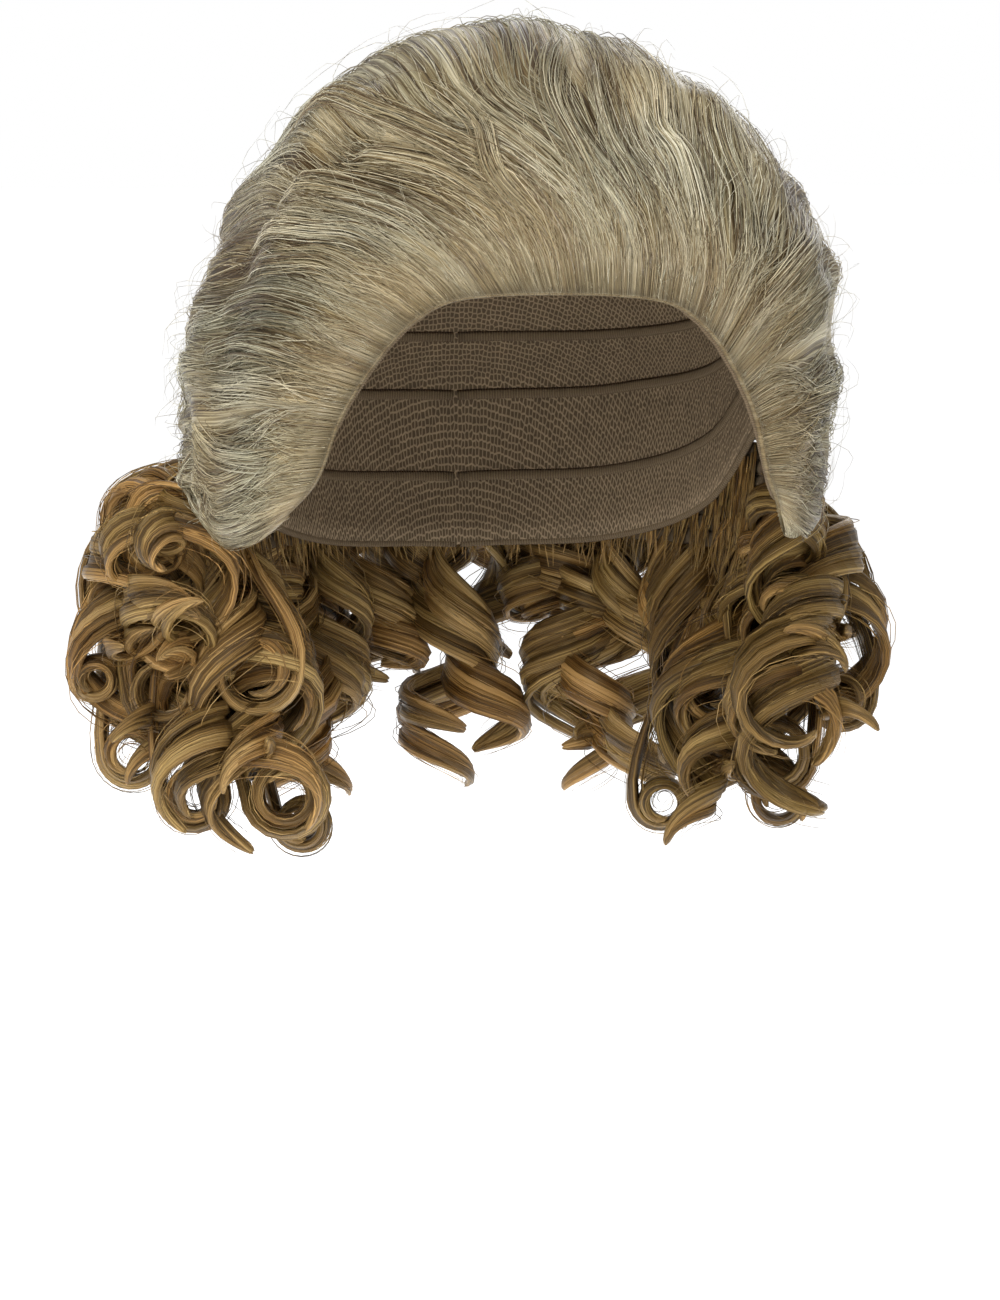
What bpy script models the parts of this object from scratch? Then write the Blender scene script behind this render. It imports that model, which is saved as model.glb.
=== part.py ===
"""A swept-back costume wig: a cap, a padded top of light hair, two side rolls and five groups of curls.

The wig keeps the form that it has on a head. The origin is on the inside of the cap at the crown,
where the top of the head meets it. +Z is up, the face side is -Y, and the wearer's left is +X.
"""

import math
from collections import namedtuple

import bmesh
import bpy
import numpy as np

# The head form that the cap fits, in metres.
HEAD_HALF_WIDTH = 0.076
HEAD_HALF_LENGTH = 0.098
CROWN_DEPTH = 0.085  # from the crown down to the widest level
LOWER_DEPTH = 0.130  # how gently the head narrows below that level

CAP_WALL = 0.002
SEAM_GAP = 0.0003  # between one piece and the next
FACET_DIP = 0.0009  # how far the middle of a flat facet dips below the round form of the head
STRIP_DIP = 0.0004  # the same for the small facets of a backing strip

# The outside of the light hair, as how far it stands out from the head form.
HAIR_SIDE = 0.0135
HAIR_FRONT = 0.006
HAIR_BACK = 0.018
HAIR_TOP = 0.019
HAIR_LOWER = 0.035  # far below the widest level, which sets how gently the sides draw in

EDGE_SHARE = 0.14  # thickness left at an edge of the hair, as a share of the full thickness
FRONT_ROLL = 0.20  # the share of a strand's way over which the front edge rolls up to full thickness
END_ROLL = 0.13  # the same where the strands end
LOBE_SHARE = 0.12  # the share of the way across over which the lower end of a side roll rounds off
ROLL_SEAM = 0.60  # where the side rolls begin, as a share of the way from the middle to the lobe
ROLL_PARTING = 0.004  # how far apart a side roll and the top stay, as the same share

RIB_RISE = 0.0012  # combed ribs along the strands
RIBS_EACH_SIDE = 9
RIB_SWAY = 0.5  # how far a rib strays to the side, in ribs
RIB_SWAYS = 3.0  # how quickly it does so, in radians over a strand's way
WAVE_RISE = 0.0020  # set waves across the strands
WAVES = 2.6
WAVE_LAG = 1.7  # how many waves the middle is ahead of the lobe

# The curls: locks wound round a spine, each a flat band of hair.
CURL_DROP = 0.116  # from the light hair's ends to the lowest curl
CURL_REACH = 0.046  # from the head form out to the widest curl
CURL_FORWARD = 0.030  # how far a curl's end turns to the face
COIL_RADIUS = 0.0135
BAND_WIDTH = 0.0115
BAND_THICKNESS = 0.0045
TIP_WIDTH = 0.45  # the width of a band at its tip, as a share of its full width
TIP_TAPER = 2.0  # how fast it widens from there, in full widths over a lock's way
END_BEND = 0.30  # how high above its end a lock turns to the face, as a share of its fall
COIL_FULL = 0.60  # the share of a lock's way over which its coil opens to full size
WINDING = 1.3  # above 1, a lock winds tighter to its end
BACKING_THICKNESS = 0.005
ROOT_DEPTH = 0.65  # where a lock begins in the backing, as a share of its thickness
ROOT_LIFT = 0.010  # how far a lock stands out before it falls
BACKING_UPPER_DROP = 1.18  # shares of CROWN_DEPTH, like the drops below
BACKING_LOWER_DROP = 1.52

# The azimuths between which each backing runs.
SIDE_BACKING = (106, 137)
BACK_BACKING = (138, 166)
MIDDLE_BACKING = (167, 193)

# The lower edge of the cap. Azimuth 0 is the face and 180 the nape; drop is a share of CROWN_DEPTH.
Rim = namedtuple("Rim", "azimuth drop")
CAP_RIM = [
    Rim(*row)
    for row in (
        (0, 0.565),
        (16, 0.58),
        (27, 0.70),
        (38, 0.95),
        (48, 1.20),
        (60, 1.28),
        (80, 1.15),
        (98, 1.05),
        (125, 1.38),
        (150, 1.52),
        (180, 1.56),
    )
]

# The strands of light hair, from the lobe on the wearer's right (-1) to the one on the left (1).
# Each leaves the hairline, passes a point beside the crown and ends at the back or side.
Strand = namedtuple("Strand", "across hairline_azimuth hairline_drop sweep_angle end_azimuth end_drop")
STRANDS = [
    Strand(*row)
    for row in (
        (-1.00, -56, 1.32, -122, -104, 1.12),
        (-0.85, -46, 1.18, -103, -113, 1.15),
        (-0.70, -40, 0.98, -85, -124, 1.15),
        (-0.55, -34, 0.82, -70, -136, 1.15),
        (-0.40, -28, 0.69, -56, -149, 1.15),
        (-0.25, -20, 0.60, -41, -162, 1.15),
        (-0.10, -8, 0.565, -22, -176, 1.15),
        (0.00, 0, 0.56, -7, -183, 1.15),
        (0.10, 8, 0.565, 4, -190, 1.15),
        (0.25, 20, 0.60, 17, -202, 1.15),
        (0.40, 28, 0.69, 32, -214, 1.15),
        (0.55, 34, 0.82, 51, -226, 1.15),
        (0.70, 40, 0.98, 74, -237, 1.15),
        (0.85, 46, 1.18, 99, -248, 1.15),
        (1.00, 56, 1.32, 122, -256, 1.12),
    )
]
SWEEP_WEIGHT = 1.15  # above 1, the strands pass closer to the points beside the crown

# The light hair's half-width at each level, as shares of its usual one. Level 1 is the top of the hair.
Level = namedtuple("Level", "level right left")
OUTLINE = [
    Level(*row)
    for row in (
        (-0.50, 0.97, 0.96),
        (-0.05, 1.00, 0.99),
        (0.20, 1.00, 1.01),
        (0.43, 0.95, 1.07),
        (0.64, 0.985, 1.10),
        (0.85, 1.02, 1.15),
        (1.00, 1.05, 1.10),
    )
]
SIDE_BLEND = 2.0  # how quickly one side's outline gives way to the other's across the middle

# The curls of each group. A lock leaves the backing, falls to its end and turns there to the face.
# Azimuths are in degrees; root down is a share of the backing's height, out of CURL_REACH, end down of
# CURL_DROP, forward of CURL_FORWARD and size of COIL_RADIUS. Turns below 0 wind the other way, and
# start is the angle in degrees, from straight up, at which the winding begins.
Curl = namedtuple("Curl", "root_azimuth root_down end_azimuth out down forward size turns start")
CURLS_RIGHT = [
    Curl(*row)
    for row in (
        (-108, 0.29, -101, 0.80, 0.30, 0.2, 0.65, 2.0, 200),
        (-114, 0.40, -104, 0.90, 0.54, 0.5, 0.75, -2.0, 320),
        (-120, 0.51, -108, 1.05, 0.80, 0.6, 0.85, 2.2, 240),
        (-110, 0.62, -99, 0.50, 0.56, 0.3, 0.90, -2.0, 70),
        (-116, 0.74, -102, 0.50, 0.96, 0.8, 0.95, 2.2, 20),
        (-122, 0.85, -112, -0.35, 0.98, 0.7, 1.10, -2.2, 180),
        (-128, 0.68, -118, 0.95, 0.92, 0.6, 1.00, 2.2, 270),
        (-131, 0.46, -124, 0.85, 0.54, 0.4, 0.90, -2.0, 140),
        (-118, 0.85, -108, 0.05, 1.06, 0.5, 0.85, 2.0, 120),
    )
]
CURLS_LEFT = [
    Curl(*row)
    for row in (
        (108, 0.29, 104, 0.25, 0.30, 0.2, 0.65, -2.0, 160),
        (114, 0.40, 104, 0.62, 0.52, 0.4, 0.75, 2.0, 30),
        (120, 0.51, 106, 0.92, 0.80, 0.8, 0.85, -2.2, 110),
        (110, 0.62, 100, 0.30, 0.56, 0.3, 0.85, 2.0, 280),
        (116, 0.74, 102, 0.25, 1.00, 0.8, 1.05, 2.2, 330),
        (122, 0.79, 116, 0.50, 1.04, 0.5, 0.85, -2.2, 70),
        (119, 0.85, 122, -0.50, 1.10, 0.6, 0.85, 2.0, 200),
        (128, 0.51, 124, 0.65, 0.56, 0.3, 0.90, -2.0, 210),
        (132, 0.79, 128, 0.10, 1.00, 0.4, 0.95, 2.2, 70),
    )
]
CURLS_BACK = [
    Curl(*row)
    for row in (
        (142, 0.40, 141, 0.80, 0.66, 0.0, 0.95, 2.2, 45),
        (147, 0.75, 149, 0.35, 1.04, 0.0, 1.05, -2.4, 170),
        (155, 0.42, 155, 0.80, 0.70, 0.0, 0.90, -2.2, 300),
        (159, 0.76, 158, 0.35, 1.04, 0.0, 0.95, 2.4, 110),
    )
]
CURLS_MIDDLE = [
    Curl(*row)
    for row in (
        (173, 0.51, 173, 0.75, 0.68, 0.0, 0.85, 2.2, 0),
        (179, 0.78, 181, 0.30, 1.04, 0.0, 1.05, -2.4, 210),
        (187, 0.51, 187, 0.70, 0.72, 0.0, 0.85, -2.2, 150),
    )
]
CAP_SEGMENTS = 34
CAP_RINGS = 8
TOP_COLUMNS = 36
ROLL_COLUMNS = 10
LOBE_CROWDING = 1.7  # above 1, a side roll's columns lie closer where it rounds off
STRAND_ROWS = 14
BACKING_COLUMNS = 5
BACKING_ROWS = 2
COIL_STEPS = 6  # in each turn
LEAD_STEPS = 3  # before the coil opens
SAME_POINT = 1e-6  # points closer than this are one


def read(table, column, at):
    """A column of a table at any place between its rows, along a smooth curve."""
    places = np.array([row[0] for row in table], float)
    values = np.array([getattr(row, column) for row in table], float)
    slopes = np.gradient(values, places)
    at = np.clip(np.asarray(at, float), places[0], places[-1])
    i = np.clip(np.searchsorted(places, at) - 1, 0, len(places) - 2)
    step = places[i + 1] - places[i]
    u = (at - places[i]) / step
    return (
        values[i] * (1 + 2 * u) * (1 - u) ** 2
        + slopes[i] * step * u * (1 - u) ** 2
        + values[i + 1] * u * u * (3 - 2 * u)
        - slopes[i + 1] * step * u * u * (1 - u)
    )


def stacked(*axes):
    return np.stack(np.broadcast_arrays(*axes), axis=-1)


def unit(vectors):
    return vectors / np.linalg.norm(vectors, axis=-1, keepdims=True)


def smooth(share):
    share = np.clip(share, 0, 1)
    return share * share * (3 - 2 * share)


def around(azimuth):
    """The level direction at an azimuth in degrees."""
    angle = np.radians(azimuth)
    return stacked(np.sin(angle), -np.cos(angle), 0 * angle)


def head_point(azimuth, drop, grow=0.0):
    """A point at an azimuth and height on the head form, grown all round by a thickness."""
    height = CROWN_DEPTH - np.asarray(drop) * CROWN_DEPTH
    depth = np.where(height > 0, CROWN_DEPTH, LOWER_DEPTH) + grow
    share = np.sqrt(np.clip(1 - (height / depth) ** 2, 0, 1))
    out = around(azimuth)
    radius = 1 / np.hypot(
        out[..., 0] / (HEAD_HALF_WIDTH + grow), out[..., 1] / (HEAD_HALF_LENGTH + grow)
    )
    level = out * (radius * share)[..., None]
    return level + stacked(0, 0, height - CROWN_DEPTH)


def middle():
    """The middle of the head form at its widest level."""
    return np.array((0.0, 0.0, -CROWN_DEPTH))


def reach(directions, half_width, front, back, upper, lower):
    """How far each direction goes from the middle to an egg-shaped surface."""
    x, y, z = np.moveaxis(directions, -1, 0)
    return 1 / np.sqrt(
        (x / half_width) ** 2
        + (y / np.where(y < 0, front, back)) ** 2
        + (z / np.where(z > 0, upper, lower)) ** 2
    )


def cap_outside(directions):
    """How far each direction goes to the surface that lies just clear of the cap."""
    grow = CAP_WALL + SEAM_GAP + FACET_DIP
    length = HEAD_HALF_LENGTH + grow
    return reach(
        directions, HEAD_HALF_WIDTH + grow, length, length, CROWN_DEPTH + grow, LOWER_DEPTH + grow
    )


def hair_outside(directions):
    level = directions[..., 2]
    on_left = smooth(0.5 + SIDE_BLEND * directions[..., 0])
    share = read(OUTLINE, "right", level) * (1 - on_left) + read(OUTLINE, "left", level) * on_left
    return reach(
        directions,
        (HEAD_HALF_WIDTH + HAIR_SIDE) * share,
        HEAD_HALF_LENGTH + HAIR_FRONT,
        HEAD_HALF_LENGTH + HAIR_BACK,
        CROWN_DEPTH + HAIR_TOP,
        LOWER_DEPTH + HAIR_LOWER,
    )


def strand_direction(along, across):
    """The way from the middle of the head to a place on a strand; across is negative on the right."""
    sweep = np.radians(read(STRANDS, "sweep_angle", across))
    hairline = read(STRANDS, "hairline_azimuth", across), read(STRANDS, "hairline_drop", across)
    starts = head_point(*hairline)
    ends = head_point(read(STRANDS, "end_azimuth", across), read(STRANDS, "end_drop", across))
    passing = stacked(np.sin(sweep), 0 * sweep, np.cos(sweep))
    along = np.asarray(along)[..., None]
    way = (
        unit(starts - middle()) * (1 - along) ** 2
        + passing * SWEEP_WEIGHT * 2 * along * (1 - along)
        + unit(ends - middle()) * along**2
    )
    return unit(way)


def fullness(along, across):
    """The share of the full thickness: less where the hair rolls in at the face, the ends and the lobe."""
    front = np.clip(along / FRONT_ROLL, 0, 1)
    end = np.clip((1 - along) / END_ROLL, 0, 1)
    lobe = np.clip((1 - np.abs(across)) / LOBE_SHARE, 0, 1)
    rounded = 1.0
    for share in (front, end, lobe):
        rounded = rounded * (EDGE_SHARE + (1 - EDGE_SHARE) * np.sqrt(1 - (1 - share) ** 2))
    return rounded


def relief(along, across):
    """Combed ribs and set waves, which fade out at the edges."""
    ribs = np.cos(2 * math.pi * (RIBS_EACH_SIDE * across + RIB_SWAY * np.sin(RIB_SWAYS * along)))
    waves = np.sin(2 * math.pi * (WAVES * along + WAVE_LAG * np.abs(across)))
    inside = smooth(along / FRONT_ROLL) * smooth((1 - along) / END_ROLL)
    return (RIB_RISE * ribs + WAVE_RISE * waves) * inside * smooth((1 - np.abs(across)) / LOBE_SHARE)


def hair_point(along, across, layer):
    """A point of the light hair: layer 0 is its underside on the cap, and 1 its outside."""
    way = strand_direction(along, across)
    low = cap_outside(way)
    full = low + (hair_outside(way) - low) * fullness(along, across) + relief(along, across)
    return middle() + way * (low + (full - low) * layer)[..., None]


def material(name, colour, roughness):
    made = bpy.data.materials.new(name)
    made.use_nodes = True
    shader = made.node_tree.nodes["Principled BSDF"]
    shader.inputs["Base Color"].default_value = (*colour, 1)
    shader.inputs["Roughness"].default_value = roughness
    shader.inputs["Metallic"].default_value = 0
    return made


def add(name, mesh, finish, collection):
    """A finished mesh as one named, smoothly shaded object."""
    bmesh.ops.triangulate(mesh, faces=mesh.faces)
    data = bpy.data.meshes.new(name)
    mesh.to_mesh(data)
    mesh.free()
    data.shade_smooth()
    data.materials.append(finish)
    made = bpy.data.objects.new(name, data)
    collection.objects.link(made)
    return made


def place(mesh, points):
    """Moves every vertex to its point."""
    for vertex, point in zip(mesh.verts, points):
        vertex.co = point


def close_between(mesh, one_side, other_side):
    """Makes a flat grid a closed body, with its own points on one side and a copy's on the other."""
    bmesh.ops.duplicate(mesh, geom=mesh.verts[:] + mesh.edges[:] + mesh.faces[:])
    mesh.verts.ensure_lookup_table()
    place(mesh, np.concatenate([one_side, other_side]))
    bmesh.ops.bridge_loops(mesh, edges=[edge for edge in mesh.edges if edge.is_boundary])
    bmesh.ops.recalc_face_normals(mesh, faces=mesh.faces)


def make_cap(finish, collection):
    """The cap: the upper half of a sphere, drawn down to the rim, with a wall to the outside."""
    mesh = bmesh.new()
    bmesh.ops.create_uvsphere(mesh, u_segments=CAP_SEGMENTS, v_segments=2 * CAP_RINGS, radius=1)
    below = [vertex for vertex in mesh.verts if vertex.co.z < -SAME_POINT]
    bmesh.ops.delete(mesh, geom=below, context="VERTS")
    ball = np.array([vertex.co for vertex in mesh.verts])
    azimuth = np.degrees(np.arctan2(ball[:, 0], -ball[:, 1]))
    share = np.arccos(np.clip(ball[:, 2], 0, 1)) / (math.pi / 2)
    rim = read(CAP_RIM, "drop", np.abs(azimuth))
    below_widest = np.arcsin(np.clip((rim - 1) * CROWN_DEPTH / LOWER_DEPTH, 0, 1))
    tilt = share * (np.arccos(np.clip(1 - rim, 0, 1)) + below_widest)
    upper = 1 - np.cos(tilt)
    lower = 1 - np.cos(tilt) * LOWER_DEPTH / CROWN_DEPTH
    place(mesh, head_point(azimuth, np.where(tilt < math.pi / 2, upper, lower)))
    cap = add("cap", mesh, finish, collection)
    wall = cap.modifiers.new("wall", "SOLIDIFY")
    wall.thickness = CAP_WALL
    wall.offset = 1
    return cap


def crowded(across):
    """Moves places across a side roll towards the lobe, where its surface turns most."""
    way = np.clip((np.abs(across) - ROLL_SEAM) / (1 - ROLL_SEAM), 0, 1)
    beyond = (1 - ROLL_SEAM) * (1 - (1 - way) ** LOBE_CROWDING - way)
    return across + np.sign(across) * beyond


def make_pad(name, first, last, columns, finish, collection):
    """A padded sheet of light hair between two strands: an outside, an underside and the edges between."""
    mesh = bmesh.new()
    bmesh.ops.create_grid(mesh, x_segments=STRAND_ROWS, y_segments=columns, size=1)
    flat = np.array([vertex.co for vertex in mesh.verts])
    along = (flat[:, 0] + 1) / 2
    across = crowded(first + (last - first) * (flat[:, 1] + 1) / 2)
    close_between(mesh, hair_point(along, across, 1.0), hair_point(along, across, 0.0))
    return add(name, mesh, finish, collection)


def backing_drop(share):
    """A height on the backing, as a drop: share 0 is its top, where the curls begin, and 1 its foot."""
    return BACKING_UPPER_DROP + (BACKING_LOWER_DROP - BACKING_UPPER_DROP) * share


def bezier(points, share):
    """A smooth curve that leaves the first point, bends past the next two and ends at the last."""
    share = share[:, None]
    a, b, c, d = points
    rest = 1 - share
    return a * rest**3 + 3 * b * share * rest**2 + 3 * c * share**2 * rest + d * share**3


def curl_spine(lock, share):
    """The line round which a lock winds: out of the backing, down, and at its end to the face."""
    reach_out = CURL_REACH - COIL_RADIUS
    drop = backing_drop(lock.root_down)
    root = head_point(lock.root_azimuth, drop, CAP_WALL + ROOT_DEPTH * BACKING_THICKNESS)
    lifted = root + around(lock.root_azimuth) * (ROOT_LIFT + max(lock.out, 0) * reach_out)
    side = head_point(lock.end_azimuth, drop, CAP_WALL) + around(lock.end_azimuth) * lock.out * reach_out
    foot = -backing_drop(0) * CROWN_DEPTH - lock.down * (CURL_DROP - COIL_RADIUS)
    bend = side * (1, 1, 0) + np.array((0, 0, foot + END_BEND * (root[2] - foot)))
    end = side * (1, 1, 0) + np.array((0, -lock.forward * CURL_FORWARD, foot))
    return bezier((root, lifted, bend, end), share)


def frames(line):
    """Two directions square to a line at each of its points, turning with it and not twisting."""
    ahead = unit(np.gradient(line, axis=0))
    sides = [np.array((0.0, 0.0, 1.0))]
    for direction in ahead:
        sides.append(unit(sides[-1] - direction * (sides[-1] @ direction)))
    sides = np.array(sides[1:])
    return sides, np.cross(ahead, sides)


def curl_band(lock):
    """The four edges of a lock's flat band, as it leaves the root and winds wider to its end."""
    steps = int(abs(lock.turns) * COIL_STEPS) + LEAD_STEPS
    share = np.linspace(0, 1, steps)
    line = curl_spine(lock, share)
    side, up = frames(line)
    angle = np.radians(lock.start) + 2 * math.pi * lock.turns * share**WINDING
    outward = side * np.cos(angle)[:, None] + up * np.sin(angle)[:, None]
    radius = lock.size * COIL_RADIUS * smooth(share / COIL_FULL)
    path = line + outward * radius[:, None]
    across = unit(np.cross(unit(np.gradient(path, axis=0)), outward))
    width = BAND_WIDTH / 2 * np.minimum(1, TIP_WIDTH + TIP_TAPER * np.minimum(share, 1 - share))
    corners = ((-1, -1), (1, -1), (1, 1), (-1, 1), (-1, -1))
    rows = [
        path + outward * thick * BAND_THICKNESS / 2 + across * (wide * width)[:, None]
        for wide, thick in corners
    ]
    return np.array(rows)


def outer_body(mesh):
    """Leaves the one body that locks and backing form, without the pockets that they close in between."""
    left = set(mesh.faces)
    bodies = []
    while left:
        body = {left.pop()}
        reached = body
        while reached:
            near = {face for one in reached for edge in one.edges for face in edge.link_faces}
            reached = near - body
            body = body | reached
        left -= body
        bodies.append(body)
    bodies.sort(key=len)
    for body in bodies[:-1]:
        bmesh.ops.delete(mesh, geom=list(body), context="FACES")


def make_lock(name, lock, finish, collection):
    """One lock as a closed solid, used to build a group of curls."""
    rows = curl_band(lock)
    mesh = bmesh.new()
    bmesh.ops.create_grid(mesh, x_segments=rows.shape[1] - 1, y_segments=rows.shape[0] - 1, size=1)
    place(mesh, rows.reshape(-1, 3))
    bmesh.ops.remove_doubles(mesh, verts=mesh.verts, dist=SAME_POINT)
    bmesh.ops.holes_fill(mesh, edges=[edge for edge in mesh.edges if edge.is_boundary])
    bmesh.ops.recalc_face_normals(mesh, faces=mesh.faces)
    made = add(name, mesh, finish, collection)
    made.hide_render = True
    made.display_type = "WIRE"
    return made


def make_backing(name, azimuths, finish, collection):
    """The curved strip on the cap's lower edge, to which a group of curls is sewn."""
    first, last = azimuths
    mesh = bmesh.new()
    bmesh.ops.create_grid(mesh, x_segments=BACKING_ROWS, y_segments=BACKING_COLUMNS, size=1)
    flat = np.array([vertex.co for vertex in mesh.verts])
    azimuth = first + (last - first) * (flat[:, 1] + 1) / 2
    drop = backing_drop((flat[:, 0] + 1) / 2)
    near = head_point(azimuth, drop, CAP_WALL + SEAM_GAP + STRIP_DIP)
    far = head_point(azimuth, drop, CAP_WALL + BACKING_THICKNESS)
    close_between(mesh, near, far)
    return add(name, mesh, finish, collection)


def make_curls(name, azimuths, locks, finish, collection):
    """A group of curls: its locks fused to their backing."""
    group = bpy.data.collections.new(name + "_locks")
    bpy.context.scene.collection.children.link(group)
    for number, lock in enumerate(locks):
        make_lock(f"{name}_lock_{number}", lock, finish, group)
    backing = make_backing(name, azimuths, finish, collection)
    fuse = backing.modifiers.new("fuse", "BOOLEAN")
    fuse.operation = "UNION"
    fuse.solver = "EXACT"
    fuse.use_self = True
    fuse.operand_type = "COLLECTION"
    fuse.collection = group
    evaluated = backing.evaluated_get(bpy.context.evaluated_depsgraph_get())
    fused = bmesh.new()
    fused.from_mesh(bpy.data.meshes.new_from_object(evaluated))
    outer_body(fused)
    backing.modifiers.clear()
    fused.to_mesh(backing.data)
    fused.free()
    for lock in list(group.objects):
        bpy.data.objects.remove(lock, do_unlink=True)
    bpy.data.collections.remove(group)


def clear_scene():
    for old in list(bpy.data.objects):
        bpy.data.objects.remove(old, do_unlink=True)


def mirrored(locks):
    """The same locks on the other side of the wig."""
    return [
        lock._replace(
            root_azimuth=-lock.root_azimuth,
            end_azimuth=-lock.end_azimuth,
            turns=-lock.turns,
            start=-lock.start,
        )
        for lock in locks
    ]


def other_side(azimuths):
    """The same stretch of the head on its other side."""
    first, last = azimuths
    return -last, -first


def build():
    clear_scene()
    collection = bpy.data.collections.new("costume_wig")
    bpy.context.scene.collection.children.link(collection)
    net = material("cap_net", (0.20, 0.155, 0.10), 0.9)
    light = material("light_hair", (0.38, 0.33, 0.24), 0.5)
    brown = material("brown_hair", (0.17, 0.11, 0.05), 0.5)
    make_cap(net, collection)
    make_pad("top_hair", -ROLL_SEAM, ROLL_SEAM, TOP_COLUMNS, light, collection)
    make_pad("side_roll_left", ROLL_SEAM + ROLL_PARTING, 1.0, ROLL_COLUMNS, light, collection)
    make_pad("side_roll_right", -1.0, -ROLL_SEAM - ROLL_PARTING, ROLL_COLUMNS, light, collection)
    make_curls("curls_right", other_side(SIDE_BACKING), CURLS_RIGHT, brown, collection)
    make_curls("curls_left", SIDE_BACKING, CURLS_LEFT, brown, collection)
    make_curls("curls_back_left", BACK_BACKING, CURLS_BACK, brown, collection)
    make_curls("curls_back_right", other_side(BACK_BACKING), mirrored(CURLS_BACK), brown, collection)
    make_curls("curls_back_middle", MIDDLE_BACKING, CURLS_MIDDLE, brown, collection)


build()
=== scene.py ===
"""The looks of a swept-back costume wig: combed light hair, two side rolls and ringlets on a wefted cap.

Lengths are in metres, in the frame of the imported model. The origin is inside the cap at the crown,
+Z is up, the face side is -Y, and the wearer's left is +X.
"""

import math
from collections import namedtuple

import bpy
import numpy as np
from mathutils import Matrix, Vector

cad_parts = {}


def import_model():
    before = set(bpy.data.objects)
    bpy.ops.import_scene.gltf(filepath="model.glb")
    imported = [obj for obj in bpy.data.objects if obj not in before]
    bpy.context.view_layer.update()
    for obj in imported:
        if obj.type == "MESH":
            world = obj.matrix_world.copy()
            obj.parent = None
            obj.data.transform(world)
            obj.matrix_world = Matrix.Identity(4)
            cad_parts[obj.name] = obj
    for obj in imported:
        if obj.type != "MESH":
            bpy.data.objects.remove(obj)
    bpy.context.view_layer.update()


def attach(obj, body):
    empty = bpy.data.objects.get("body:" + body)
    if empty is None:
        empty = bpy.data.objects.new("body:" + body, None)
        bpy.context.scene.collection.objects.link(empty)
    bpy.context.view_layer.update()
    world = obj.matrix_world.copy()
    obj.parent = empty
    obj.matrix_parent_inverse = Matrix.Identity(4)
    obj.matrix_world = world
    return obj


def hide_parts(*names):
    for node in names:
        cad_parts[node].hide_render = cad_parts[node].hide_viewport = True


def named_rows(kind, *rows):
    """A table, with a name for each column."""
    return [kind(*row) for row in rows]


# The photograph is 1000 by 1300 pixels and shows 3600 pixels to a metre at the middle of the head.
PHOTO_WIDTH = 1000
PHOTO_HEIGHT = 1300
PIXELS_PER_METRE = 3600
HEAD_PIXEL = (507, 403)  # where it shows the middle of the head at its widest level
VIEW_AZIMUTH = -9
VIEW_ELEVATION = 4
VIEW_DISTANCE = 1.6
SENSOR = 36.0  # millimetres, along the photograph's longer side
FLOOR_LEVEL = -0.42
FLOOR_SIZE = 24.0
FLOOR_GLOW = 0.62
ROOM_LIGHT = 0.43  # the white room's strength as a light, and as it looks
ROOM_SEEN = 1.0
Lamp = namedtuple("Lamp", "name place size power")
LAMPS = named_rows(
    Lamp,
    ("key_box", (-1.0, -1.8, 0.8), 1.0, 35),
    ("fill_box", (1.4, -1.6, 0.7), 1.2, 8),
    ("top_box", (-0.2, -0.2, 1.7), 1.2, 11),
    ("rear_box", (0.6, 1.6, 0.9), 1.2, 9),
)

# The head form that the cap fits.
HEAD_HALF_WIDTH = 0.076
HEAD_HALF_LENGTH = 0.098
CROWN_DEPTH = 0.085
LOWER_DEPTH = 0.130
CAP_WALL = 0.002
CAP_CLEARANCE = 0.0012  # from the cap to the hair on it

# The outside of the light hair, as how far it stands out from the head form.
HAIR_SIDE = 0.0135
HAIR_FRONT = 0.006
HAIR_BACK = 0.018
HAIR_TOP = 0.019
HAIR_LOWER = 0.035

# Shares of the full thickness, of a strand's way and of the way across, as in the solids.
EDGE_SHARE = 0.14
FRONT_ROLL = 0.20
END_ROLL = 0.13
LOBE_SHARE = 0.12
LOBE_CROWDING = 1.7
ROLL_SEAM = 0.60
RIB_RISE = 0.0005
RIBS_EACH_SIDE = 9
RIB_SWAY = 0.5
RIB_SWAYS = 3.0
WAVE_RISE = 0.0013
WAVES = 2.6
WAVE_LAG = 1.7

# The lower edge of the cap. Azimuth 0 is the face and 180 the nape; drop is a share of CROWN_DEPTH.
Rim = namedtuple("Rim", "azimuth drop")
CAP_RIM = named_rows(
    Rim,
    (0, 0.565),
    (16, 0.58),
    (27, 0.70),
    (38, 0.95),
    (48, 1.20),
    (60, 1.28),
    (80, 1.15),
    (98, 1.05),
    (125, 1.38),
    (150, 1.52),
    (180, 1.56),
)

# The strands of light hair, from the lobe on the wearer's right (-1) to the one on the left (1).
Strand = namedtuple("Strand", "across hairline_azimuth hairline_drop sweep_angle end_azimuth end_drop")
STRANDS = named_rows(
    Strand,
    (-1.00, -56, 1.32, -122, -104, 1.12),
    (-0.85, -46, 1.18, -103, -113, 1.15),
    (-0.70, -40, 0.98, -85, -124, 1.15),
    (-0.55, -34, 0.82, -70, -136, 1.15),
    (-0.40, -28, 0.69, -56, -149, 1.15),
    (-0.25, -20, 0.60, -41, -162, 1.15),
    (-0.10, -8, 0.565, -22, -176, 1.15),
    (0.00, 0, 0.56, -7, -183, 1.15),
    (0.10, 8, 0.565, 4, -190, 1.15),
    (0.25, 20, 0.60, 17, -202, 1.15),
    (0.40, 28, 0.69, 32, -214, 1.15),
    (0.55, 34, 0.82, 51, -226, 1.15),
    (0.70, 40, 0.98, 74, -237, 1.15),
    (0.85, 46, 1.18, 99, -248, 1.15),
    (1.00, 56, 1.32, 122, -256, 1.12),
)
SWEEP_WEIGHT = 1.15

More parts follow.
